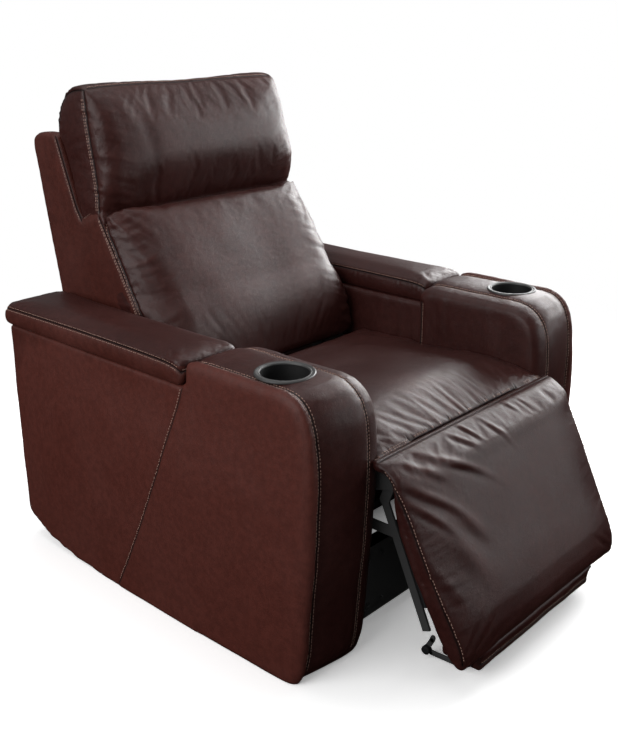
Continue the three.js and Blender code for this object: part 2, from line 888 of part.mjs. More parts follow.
function addCoupler(side, name) {
  const outline = linkOutline(armPivot, padPivot, link.halfWidth);
  const holes = [armPivot, padPivot].map((centre) => ({ centre, radius: link.pinRadius + fit.pinPlay }));
  add(name + "_coupler_link", prismX(outline, mirrored(side, levels.coupler), holes), "blackSteel");
}

addCoupler(-1, "right");
addCoupler(1, "left");

// The crank's pin is straight below the swing pivot half way through the footrest's travel.
const crankAngle = -90 - (travel.footOpen + travel.footClosed) / 2;
const crankPin = arc(swingPivot, crank.radius, crankAngle, crankAngle, 1)[0];
const swingLinks = [-1, 1].flatMap((side) => [
  prismX(linkOutline(swingPivot, tubeCentre, link.halfWidth), mirrored(side, levels.swing), [
    { centre: swingPivot, radius: link.pinRadius + fit.pinPlay },
  ]),
  rodX(armPivot, link.pinRadius, mirrored(side, [levels.swing[0], levels.coupler[1]])),
]);
const crankInner = footDrive.x + fork.thickness / 2 + fit.linkSpacing;
const crankXs = [crankInner, crankInner + crank.thickness];
add(
  "drive_tube",
  join(
    rodX(tubeCentre, tube.radius, [-levels.swing[1], levels.swing[1]]),
    ...swingLinks,
    prismX(linkOutline(tubeCentre, crankPin, link.halfWidth), crankXs),
    rodX(crankPin, crank.pinRadius, [footDrive.x - fork.thickness / 2, crankXs[1]]),
  ),
  "blackSteel",
);

// Linear drives: a gear motor with its tube, and a rod whose slotted end carries the driven pin

function addDrive(name, drive, motorAt, openAt) {
  const outer = rodY(drive.x, drive.z, drive.tubeRadius, [drive.front, drive.rear]);
  const away = Math.sign(drive.x);
  const motorEnd = drive.x + away * (drive.tubeRadius + motor.length);
  const body = rodX([motorAt, drive.z], motor.radius, [drive.x, motorEnd]);
  const bore = rodY(drive.x, drive.z, drive.rodRadius + fit.seat, openAt);
  add(name + "_actuator", cut(join(outer, body), bore), "plastic");
}

function addRod(name, drive, pinAt, pinRadius, forward, rodEnd, lows) {
  const slot = pinRadius + drive.slotPlay;
  const centre = pinAt + drive.shift;
  const outline = [
    [centre - slot - fork.wall, lows[0] - fork.wall],
    [centre + slot + fork.wall, lows[0] - fork.wall],
    [centre + slot + fork.wall, lows[1]],
    [centre + slot, lows[1]],
    [centre + slot, lows[0]],
    [centre - slot, lows[0]],
    [centre - slot, lows[1]],
    [centre - slot - fork.wall, lows[1]],
  ];
  const plateXs = [drive.x - fork.thickness / 2, drive.x + fork.thickness / 2];
  const near = centre + forward * (slot + fork.wall / 2);
  const rod = rodY(drive.x, drive.z, drive.rodRadius, [Math.min(near, rodEnd), Math.max(near, rodEnd)]);
  add(name + "_rod", join(prismX(outline, plateXs), rod), "zinc");
}

const crankHalfTurn = radians((travel.footOpen - travel.footClosed) / 2);
const footPinHigh = swingPivot[1] - crank.radius * Math.cos(crankHalfTurn);
addDrive("footrest", footDrive, footDrive.rear - motor.radius, [
  footDrive.front - fit.overrun,
  footDrive.rear - 2 * motor.radius,
]);
addRod("footrest", footDrive, crankPin[0], crank.pinRadius, 1, crankPin[0] + footDrive.rodLength, [
  swingPivot[1] - crank.radius - crank.pinRadius - footDrive.slotPlay,
  footPinHigh + crank.pinRadius,
]);

const backTube = [backPivot[0], backPivot[1] - back.leverLength];
addDrive("back", backDrive, backDrive.front + motor.radius, [
  backDrive.front + 2 * motor.radius,
  backDrive.rear + fit.overrun,
]);
addRod("back", backDrive, backTube[0], tube.radius, -1, backTube[0] - backDrive.rodLength, [
  backTube[1] - tube.radius - backDrive.slotPlay,
  backTube[1] + backDrive.slotRise,
]);

// Back

// The line that the back cushion and its board share
const boardLow = [back.boardLowY, back.boardLowZ];
const boardHigh = [back.boardHighY, back.boardHighZ];
const boardAlong = new THREE.Vector2(boardHigh[0] - boardLow[0], boardHigh[1] - boardLow[1]).normalize();

function behindBoard([y, z], distance) {
  return [y + boardAlong.y * distance, z - boardAlong.x * distance];
}

add(
  "back_board",
  prismX(
    [
      behindBoard(boardLow, fit.seat),
      behindBoard(boardHigh, fit.seat),
      behindBoard(boardHigh, fit.seat + back.boardThickness),
      behindBoard(boardLow, fit.seat + back.boardThickness),
    ],
    [fit.seat - levels.bar[0], levels.bar[0] - fit.seat],
  ),
  "wood",
);

function addBackBracket(side, name) {
  const disc = plate.rearRadius - plate.thickness / 2;
  const lever = linkOutline(backPivot, backTube, disc);
  const strapLow = behindBoard(boardLow, fit.seat + back.strapWidth / 2);
  const heel = [strapLow[0], backPivot[1] + disc / 2];
  const strapHigh = [
    THREE.MathUtils.lerp(boardLow[0], boardHigh[0], back.bracketShare),
    THREE.MathUtils.lerp(boardLow[1], boardHigh[1], back.bracketShare),
  ];
  const strap = [
    behindBoard(boardLow, fit.seat),
    behindBoard(strapHigh, fit.seat),
    behindBoard(strapHigh, fit.seat + back.strapWidth),
    [heel[0] + disc, heel[1]],
    [heel[0], heel[1] - disc],
  ];
  const level = mirrored(side, levels.bar);
  const pinHole = throughX(backPivot, hinge.pinRadius + fit.pinPlay, level);
  const tubeHole = throughX(backTube, tube.radius + fit.seat, level);
  const foot = linkOutline(backPivot, heel, disc);
  const body = join(prismX(lever, level), prismX(foot, level), prismX(strap, level));
  add(name + "_back_bracket", cut(body, pinHole, tubeHole), "blackSteel");
}

addBackBracket(-1, "right");
addBackBracket(1, "left");
add("back_drive_tube", rodX(backTube, tube.radius, [-levels.bar[1], levels.bar[1]]), "blackSteel");

const headPivot = [head.hingeY, head.hingeZ];
const headPocket = head.rollRadius + head.pocketGap;
const lumbarFoot = [back.footY, back.footZ];
// The cushion's front as shares of the way from its foot to the lip under the headrest, with the
// shares of the crown there
const lumbarFrontShares = [
  [0.12, 0.03, 0.2], [0.22, 0.16, 0.8], [0.42, 0.36, 1], [0.68, 0.62, 0.9], [0.9, 0.86, 0.7],
];

function lumbarOutline(full) {
  const hollow = arc(headPivot, headPocket, -80, 0, 2 * roundSteps.corner);
  const lip = hollow.at(-1);
  const [runY, runZ] = [lip[0] - lumbarFoot[0], lip[1] - lumbarFoot[1]];
  const length = Math.hypot(runY, runZ);
  const narrow = back.topHalfWidth / back.halfWidth;
  const front = lumbarFrontShares.map(([a, b, c]) => [
    lumbarFoot[0] + runY * (a + b) / 2 - (back.crown * c * full * runZ) / length,
    lumbarFoot[1] + runZ * (a + b) / 2 + (back.crown * c * full * runY) / length,
    THREE.MathUtils.lerp(1, narrow, Math.max(0, a + b - 1)),
  ]);
  return [
    [...boardLow, 1],
    [...lumbarFoot, 1],
    ...front,
    ...hollow.toReversed().map((point) => [...point, narrow]),
    [...boardHigh, narrow],
  ];
}

add("back_cushion", cushion(back.halfWidth, lumbarOutline), "leather");

const shellLow = [back.shellLowY, back.shellLowZ];
const shellHigh = [back.shellHighY, back.shellHighZ];
const shellInside = (point) => [point[0] - back.shellThickness, point[1]];
const slotLow = [back.slotLowY, back.slotLowZ];
const slotHigh = [back.slotHighY, back.slotHighZ];
add(
  "back_rear_panel",
  prismX(
    [shellLow, shellHigh, shellInside(shellHigh), shellInside(shellLow)],
    [-back.wingOuter, back.wingOuter],
  ),
  "sideLeather",
);

function addWing(side, name) {
  const clear = ([y, z]) => [y - back.shellThickness - fit.seat, z];
  const body = prismX(
    [
      behindBoard(boardLow, back.boardThickness + 2 * fit.seat),
      clear(shellLow),
      clear(shellHigh),
      slotHigh,
      slotLow,
      behindBoard(boardHigh, back.boardThickness + 2 * fit.seat),
    ],
    mirrored(side, [levels.bar[1] + fit.seat, back.wingOuter]),
  );
  const ear = prismX(
    linkOutline(headPivot, [slotLow[0] + head.earRadius, slotLow[1]], head.earRadius),
    mirrored(side, [head.halfWidth + fit.seat, back.wingOuter]),
  );
  const hole = throughX(headPivot, head.rodRadius + fit.seat, mirrored(side, [head.halfWidth, back.wingOuter]));
  add(name + "_back_wing", cut(join(body, ear), hole), "sideLeather");
}

addWing(-1, "right");
addWing(1, "left");

// Headrest: its lower end is a roll that turns in the back cushion's hollow

add("headrest_rod", rodX(headPivot, head.rodRadius, [-back.wingOuter, back.wingOuter]), "zinc");

// The outline above the roll: shares of the headrest's depth and height, then of its width
const headShares = [
  [0.02, 0.12], [0, 0.24], [0.06, 0.52], [0.2, 0.84], [0.34, 0.96], [0.52, 1], [0.76, 0.96],
  [0.93, 0.83], [1, 0.63], [0.95, 0.54],
];

function headOutline(full) {
  const low = arc(headPivot, head.rollRadius, headRoll.from, headRoll.to, 2 * roundSteps.corner);
  const draw = head.edgeDraw * (1 - full);
  const upper = headShares.map(([a, b]) => [
    head.frontY + (head.rearY - head.frontY) * a,
    head.hingeZ + (head.top - head.hingeZ) * b,
    THREE.MathUtils.lerp(1, head.topHalfWidth / head.halfWidth, b),
  ]);
  const rear = [slotLow[0] - head.slotGap, slotLow[1]];
  return inset([...low, ...upper, rear], (i) => (i < low.length ? 0 : draw));
}

const headBore = throughX(headPivot, head.rodRadius + fit.seat, [-head.halfWidth, head.halfWidth]);
add("headrest_cushion", cut(cushion(head.halfWidth, headOutline), headBore), "leather");

// Control panel on the inner face of the sitter's right arm

const panelFace = -(arm.inner - fit.seat - panel.thickness);
const firstButton = panel.y - ((button.count - 1) / 2) * button.pitch;
const buttonYs = Array.from({ length: button.count }, (_, i) => firstButton + i * button.pitch);
const panelHoles = buttonYs.map((y) => ({ centre: [y, panel.z], radius: button.radius + button.play }));
const [halfLength, halfHeight] = [panel.length / 2 - panel.corner, panel.height / 2 - panel.corner];
const panelOutline = [
  ...arc([panel.y - halfLength, panel.z + halfHeight], panel.corner, 0, 90, roundSteps.corner),
  ...arc([panel.y + halfLength, panel.z + halfHeight], panel.corner, 90, 180, roundSteps.corner),
  ...arc([panel.y + halfLength, panel.z - halfHeight], panel.corner, 180, 270, roundSteps.corner),
  ...arc([panel.y - halfLength, panel.z - halfHeight], panel.corner, 270, 360, roundSteps.corner),
];
add("control_panel", prismX(panelOutline, [panelFace - panel.thickness, panelFace], panelHoles), "plastic");
const buttonFace = panelFace + button.proud;
["back_up", "back_down", "footrest_up", "footrest_down"].forEach((name, i) =>
  add(
    name + "_button",
    rodX([buttonYs[i], panel.z], button.radius, [buttonFace - button.depth, buttonFace]),
    "gunmetal",
  ),
);

// The chair stands centred over its own footprint.
const room = new THREE.Box3().setFromObject(chair);
chair.position.y = -(room.min.y + room.max.y) / 2;

export default chair;
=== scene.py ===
"""A cinema recliner seat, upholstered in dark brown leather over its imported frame."""

import logging
import math
from collections.abc import Callable, Iterable, Sequence
from dataclasses import dataclass, field
from enum import Enum
from typing import Any

import bmesh
import bpy
import numpy as np
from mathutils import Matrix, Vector, kdtree, noise
from mathutils.bvhtree import BVHTree


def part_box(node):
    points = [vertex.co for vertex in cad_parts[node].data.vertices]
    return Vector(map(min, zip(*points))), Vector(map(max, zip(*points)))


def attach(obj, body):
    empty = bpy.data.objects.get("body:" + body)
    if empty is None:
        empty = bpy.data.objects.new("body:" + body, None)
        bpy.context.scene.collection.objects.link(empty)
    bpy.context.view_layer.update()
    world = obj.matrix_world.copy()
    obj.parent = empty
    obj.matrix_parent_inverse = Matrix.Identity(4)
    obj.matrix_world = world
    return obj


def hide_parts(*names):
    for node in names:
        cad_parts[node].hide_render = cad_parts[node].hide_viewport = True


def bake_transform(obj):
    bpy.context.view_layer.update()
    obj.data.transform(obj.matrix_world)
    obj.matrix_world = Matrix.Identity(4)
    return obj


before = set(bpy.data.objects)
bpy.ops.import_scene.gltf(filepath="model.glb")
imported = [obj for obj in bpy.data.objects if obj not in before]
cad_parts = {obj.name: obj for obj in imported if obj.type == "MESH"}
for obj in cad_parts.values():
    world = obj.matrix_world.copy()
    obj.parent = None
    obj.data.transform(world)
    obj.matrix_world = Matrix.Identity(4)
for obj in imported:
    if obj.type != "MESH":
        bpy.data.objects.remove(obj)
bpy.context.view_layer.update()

# World Y of the floor corner at the front of the arms, from which outlines are written
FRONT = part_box("front_cross_rail")[0].y

# How far beside its line a seam is felt
REACH = 0.024

# Half the length of the seam where the footrest's leather meets the seat
LIP_HALF = 0.3055

# Where a cushion's outlines lie, as shares of its half width
SHARES = (0.0, 0.3, 0.55, 0.75, 0.88, 0.95, 0.985, 1.0)

AHEAD = Vector((0, -1, 0))
BEHIND = Vector((0, 1, 0))
UP = Vector((0, 0, 1))
WHITE = (1.0, 1.0, 1.0)

log = logging.getLogger("recliner")

Outline = list[tuple[float, float]]
Colour = tuple[float, float, float]
Relief = Callable[[np.ndarray], np.ndarray]
Stations = list[tuple[float, Outline]]


class Side(Enum):
    """The two sides of the chair, as the sitter has them."""

    RIGHT = -1
    LEFT = 1

    @property
    def word(self) -> str:
        """The side's name as the frame writes it."""
        return self.name.lower()


class Body(Enum):
    """The frame's moving bodies that carry new pieces."""

    CHASSIS = "chassis"
    FOOTREST_ARM = "footrest_arm"
    FOOTREST = "footrest"
    FLIPPER = "flipper"
    DRIVE = "drive"
    BACK = "back"
    HEADREST = "headrest"
    RIGHT_LID = "right_lid"
    LEFT_LID = "left_lid"


def at(x: float, y: float, z: float) -> Vector:
    """Turns a place measured from the arm fronts into a place in the frame."""
    return Vector((x, y + FRONT, z))


def drawn(x: float, outline: Outline) -> list[Vector]:
    """Sets an outline at one X."""
    return [at(x, y, z) for y, z in outline]


def level(half: float, y: float, z: float, count: int) -> list[Vector]:
    """Spaces points along a line across the chair."""
    return [at(x, y, z) for x in np.linspace(-half, half, count)]


def both(*names: str) -> tuple[str, ...]:
    """The names of nodes that both sides have."""
    return tuple(f"{side.word}_{name}" for name in names for side in Side)


# Materials


class Recipe:
    """Builds one node material, or the world, a node at a time."""

    def __init__(self, name: str, world: bool = False) -> None:
        """Starts with no nodes.

        Args:
            name: what it is called.
            world: whether it is a world, and not a material.
        """
        self.owner = (bpy.data.worlds if world else bpy.data.materials).new(name)
        self.owner.use_nodes = True
        self.nodes = self.owner.node_tree.nodes
        self.nodes.clear()

    def add(self, kind: str, inputs: dict[Any, Any] | None = None, **settings: Any) -> bpy.types.Node:
        """Adds a node.

        Args:
            kind: the node's type, without its ShaderNode prefix.
            inputs: a number, colour or output socket for each named input.
            **settings: the node's own options.

        Returns:
            The new node.
        """
        node = self.nodes.new("ShaderNode" + kind)
        for key, value in settings.items():
            setattr(node, key, value)
        for key, value in (inputs or {}).items():
            if isinstance(value, bpy.types.NodeSocket):
                self.owner.node_tree.links.new(value, node.inputs[key])
            else:
                node.inputs[key].default_value = value
        return node

    def maths(self, operation: str, first: Any, second: Any = 0.0) -> bpy.types.NodeSocket:
        """Works out one sum of two numbers or sockets and returns its result."""
        return self.add("Math", {0: first, 1: second}, operation=operation).outputs[0]

    def total(self, start: Any, *parts: tuple[Any, float]) -> bpy.types.NodeSocket:
        """Adds weighted parts to a value and returns the sum.

        Args:
            start: the value.
            *parts: each part with its weight.

        Returns:
            The sum.
        """
        for part, weight in parts:
            start = self.maths("ADD", start, self.maths("MULTIPLY", part, weight))
        return start

    def vectors(self, operation: str, first: Any, second: Any) -> bpy.types.NodeSocket:
        """Works out one sum of two vectors and returns its result."""
        node = self.add("VectorMath", {0: first, 1: second}, operation=operation)
        return node.outputs["Value" if operation == "DOT_PRODUCT" else "Vector"]

    def remap(
        self, value: Any, low: float, high: float, start: float, end: float
    ) -> bpy.types.NodeSocket:
        """Maps a range of values onto another, smoothly, and returns the result."""
        inputs = {"Value": value, "From Min": low, "From Max": high, "To Min": start, "To Max": end}
        return self.add("MapRange", inputs, interpolation_type="SMOOTHSTEP").outputs["Result"]

    def blend(self, share: Any, first: Any, second: Any) -> bpy.types.NodeSocket:
        """Mixes two colours and returns the result."""
        return self.add("Mix", {0: share, 6: first, 7: second}, data_type="RGBA").outputs[2]

    def noise(
        self, place: Any, scale: float, detail: float = 2.0, rough: float = 0.5
    ) -> bpy.types.NodeSocket:
        """Adds a noise pattern and returns its height."""
        inputs = {"Vector": place, "Scale": scale, "Detail": detail, "Roughness": rough}
        return self.add("TexNoise", inputs).outputs["Fac"]

    def tinted(self, colour: Any, tone: Any) -> bpy.types.NodeSocket:
        """Multiplies a colour by one tone and returns the result."""
        grey = self.add("CombineXYZ", {0: tone, 1: tone, 2: tone}).outputs[0]
        return self.vectors("MULTIPLY", colour, grey)

    def place(self) -> bpy.types.NodeSocket:
        """Returns the piece's own coordinates, in metres."""
        return self.add("TexCoord").outputs["Object"]

    def finish(self, shader: bpy.types.Node, output: str = "OutputMaterial") -> bpy.types.ID:
        """Joins the shader to the output and returns what was built."""
        self.add(output, {"Surface": shader.outputs[0]})
        return self.owner

    def skin(self, colour: Any, gloss: Any, height: Any, **more: Any) -> bpy.types.Material:
        """Finishes the material as a bumped surface.

        Args:
            colour: its colour.
            gloss: its roughness.
            height: the height of its bumps, in metres.
            **more: other inputs, with an underscore for each space.

        Returns:
            The material.
        """
        bump = self.add("Bump", {"Height": height, "Distance": 1.0}).outputs[0]
        inputs = {"Base Color": colour, "Roughness": gloss, "Normal": bump}
        inputs |= {key.replace("_", " "): value for key, value in more.items()}
        return self.finish(self.add("BsdfPrincipled", inputs))


@dataclass(frozen=True)
class Leather:
    """Pigmented, lightly grained upholstery leather, with painted shade in and beside its seams."""

    name: str
    colour: Colour
    worn: Colour
    roughness: float = 0.4
    grain: float = 0.00009
    creases: float = 0.0005
    seam_width: float = 0.0016

    def seam_shade(self, recipe: Recipe, width: float) -> bpy.types.NodeSocket:
        """Shades the lines of the piece's seams.

        Args:
            recipe: the material in the making.
            width: how far the shade reaches from a seam, in metres.

        Returns:
            1 on a seam, falling to 0 beside it.
        """
        distance = recipe.add("Attribute", attribute_name="seam_distance").outputs["Vector"]
        hold = recipe.add("Attribute", attribute_name="seam_hold").outputs["Vector"]
        near = recipe.vectors("DIVIDE", distance, (width, width, width))
        square = recipe.vectors("MULTIPLY", near, near)
        fall = recipe.vectors("DIVIDE", (1, 1, 1), recipe.vectors("ADD", square, (1, 1, 1)))
        shade = recipe.vectors("DOT_PRODUCT", recipe.vectors("MULTIPLY", fall, fall), hold)
        return recipe.maths("MINIMUM", shade, 1.0)

    def material(self) -> bpy.types.Material:
        """Makes the leather's node material."""
        recipe = Recipe(self.name)
        place = recipe.place()
        wander = recipe.add("TexNoise", {"Vector": place, "Scale": 240.0, "Detail": 2.0}).outputs["Color"]
        bent = recipe.add("Mix", {0: 0.0016, 4: place, 5: wander}, data_type="VECTOR").outputs[1]
        cells = recipe.add("TexVoronoi", {"Vector": bent, "Scale": 620.0}, feature="DISTANCE_TO_EDGE")
        pebble = recipe.remap(cells.outputs["Distance"], 0.0, 0.28, 0.0, 1.0)
        pores = recipe.noise(place, 1500.0, 2.0)
        folds = recipe.noise(place, 46.0, 5.0, 0.62)
        bend = recipe.maths("ABSOLUTE", recipe.maths("SUBTRACT", folds, 0.5))
        ripple = recipe.remap(bend, 0.0, 0.09, 0.0, 1.0)
        broad = recipe.noise(place, 5.5, 4.0, 0.55)
        mottle = recipe.noise(place, 70.0, 3.0, 0.6)
        tone = recipe.remap(broad, 0.32, 0.7, 0.0, 1.0)
        crease = recipe.add("Attribute", attribute_name="crease").outputs["Fac"]
        ridge = recipe.remap(crease, 0.0, 1.0, 0.0, 0.75)
        seam = self.seam_shade(recipe, self.seam_width)
        shade = self.seam_shade(recipe, 3.2 * self.seam_width)
        colour = recipe.blend(tone, (*self.colour, 1.0), (*self.worn, 1.0))
        colour = recipe.blend(ridge, colour, (*(1.25 * c for c in self.worn), 1.0))
        speckle = recipe.remap(mottle, 0.3, 0.72, 0.86, 1.1)
        hollow = recipe.maths("MULTIPLY", recipe.remap(pebble, 0.0, 1.0, 0.8, 1.0), speckle)
        dark = hollow
        # Painted shade: the colour darkens strongly in the seams' grooves and more lightly beside them
        for line, depth in ((shade, 0.35), (seam, 0.86)):
            light = recipe.maths("SUBTRACT", 1.0, recipe.maths("MULTIPLY", line, depth))
            dark = recipe.maths("MULTIPLY", light, dark)
        gloss = recipe.remap(broad, 0.3, 0.7, self.roughness - 0.035, self.roughness + 0.05)
        gloss = recipe.total(gloss, (mottle, 0.05), (seam, 0.3))
        height = recipe.total(
            recipe.maths("MULTIPLY", pebble, self.grain), (pores, 0.4 * self.grain),
            (ripple, 0.12 * self.creases), (folds, self.creases), (seam, -0.9 * self.seam_width),
        )
        colour = recipe.tinted(colour, dark)
        return recipe.skin(colour, gloss, height, IOR=1.46, Specular_IOR_Level=0.4)


@dataclass(frozen=True)
class Metal:
    """Coated or bare steel with a faint surface texture and a broad, random variation in tone."""

    name: str
    colour: Colour
    metallic: float
    roughness: float
    pitch: float = 900.0
    depth: float = 0.00004
    edge: float = 1.0

    def material(self) -> bpy.types.Material:
        """Makes the metal's node material."""
        recipe = Recipe(self.name)
        place = recipe.place()
        fine = recipe.noise(place, self.pitch, 3.0, 0.6)
        broad = recipe.noise(place, 22.0, 4.0, 0.6)
        colour = recipe.tinted(self.colour, recipe.remap(broad, 0.35, 0.7, 0.82, 1.2))
        gloss = recipe.remap(broad, 0.3, 0.72, self.roughness - 0.05, self.roughness + 0.1)
        height = recipe.maths("MULTIPLY", fine, self.depth)
        edge = (self.edge, self.edge, self.edge, 1.0)
        return recipe.skin(colour, gloss, height, Metallic=self.metallic, Specular_Tint=edge)


@dataclass(frozen=True)
class Moulded:
    """Moulded plastic or rubber with an eroded, matt skin."""

    name: str
    colour: Colour
    roughness: float
    pitch: float = 1400.0
    depth: float = 0.00006

    def material(self) -> bpy.types.Material:
        """Makes the moulding's node material."""
        recipe = Recipe(self.name)
        place = recipe.place()
        skin = recipe.add("TexVoronoi", {"Vector": place, "Scale": self.pitch}).outputs["Distance"]
        broad = recipe.noise(place, 30.0, 3.0)
        colour = recipe.tinted(self.colour, recipe.remap(broad, 0.3, 0.7, 0.85, 1.15))
        gloss = recipe.remap(broad, 0.3, 0.7, self.roughness - 0.05, self.roughness + 0.05)
        return recipe.skin(colour, gloss, recipe.maths("MULTIPLY", skin, self.depth))


@dataclass(frozen=True)
class Plywood:
    """Birch plywood with long grain and darker growth lines."""

    name: str
    colour: Colour
    dark: Colour

    def material(self) -> bpy.types.Material:
        """Makes the wood's node material."""
        recipe = Recipe(self.name)
        place = recipe.add("Mapping", {"Vector": recipe.place(), "Scale": (1.0, 9.0, 9.0)}).outputs[0]
        wave = {"Vector": place, "Scale": 2.2, "Distortion": 9.0, "Detail": 3.0}
        rings = recipe.add("TexWave", wave, bands_direction="Y").outputs["Fac"]
        fibre = recipe.noise(place, 90.0, 4.0, 0.7)
        mix = recipe.total(recipe.maths("MULTIPLY", rings, 0.6), (fibre, 0.4))
        colour = recipe.blend(mix, (*self.dark, 1.0), (*self.colour, 1.0))
        gloss = recipe.remap(fibre, 0.3, 0.7, 0.62, 0.78)
        return recipe.skin(colour, gloss, recipe.maths("MULTIPLY", fibre, 0.0001))


@dataclass(frozen=True)
class Woven:
    """Plain woven cloth: bonded black dust cover, or the twist of sewing thread."""

    name: str
    colour: Colour
    pitch: float
    depth: float = 0.0001

    def material(self) -> bpy.types.Material:
        """Makes the cloth's node material."""
        recipe = Recipe(self.name)
        place = recipe.place()
        wave = {"Vector": place, "Scale": self.pitch}
        warp, weft = (recipe.add("TexWave", wave, bands_direction=way).outputs["Fac"] for way in "XY")
        weave = recipe.maths("MULTIPLY", warp, weft)
        broad = recipe.noise(place, 120.0, 3.0)
        tone = recipe.total(recipe.remap(weave, 0.0, 1.0, 0.7, 1.0), (broad, 0.25))
        gloss = recipe.remap(broad, 0.3, 0.7, 0.7, 0.85)
        colour = recipe.tinted(self.colour, tone)
        return recipe.skin(colour, gloss, recipe.maths("MULTIPLY", weave, self.depth))


class Finish(Enum):
    """Every finish of the chair."""

    TOP_LEATHER = Leather("top_leather", (0.047, 0.0125, 0.0105), (0.062, 0.0175, 0.0145), 0.325)
    SIDE_LEATHER = Leather("side_leather", (0.084, 0.0185, 0.0125), (0.1, 0.0235, 0.0165), 0.47)
    BLACK_STEEL = Metal("black_steel", (0.008, 0.008, 0.0085), 0.0, 0.48)
    ZINC = Metal("zinc_plate", (0.52, 0.52, 0.5), 1.0, 0.34, 300.0)
    GUNMETAL = Metal("gunmetal", (0.013, 0.013, 0.0135), 1.0, 0.1, 1600.0, 0.00001, 0.66)
    CUP_INSIDE = Moulded("cup_inside", (0.003, 0.003, 0.0033), 0.7)
    PLASTIC = Moulded("black_plastic", (0.013, 0.013, 0.014), 0.5)
    RUBBER = Moulded("rubber", (0.016, 0.016, 0.016), 0.82, 600.0)
    WOOD = Plywood("birch_plywood", (0.42, 0.27, 0.14), (0.24, 0.13, 0.06))
    DUST_COVER = Woven("dust_cover", (0.012, 0.012, 0.013), 700.0)
    THREAD = Woven("sewing_thread", (0.56, 0.35, 0.28), 1400.0, 0.00015)

    @property
    def material(self) -> bpy.types.Material:
        """The finish's material, made when it is first used."""
        return bpy.data.materials.get(self.value.name) or self.value.material()


# Bench work: the hand tools that every sub-assembly uses


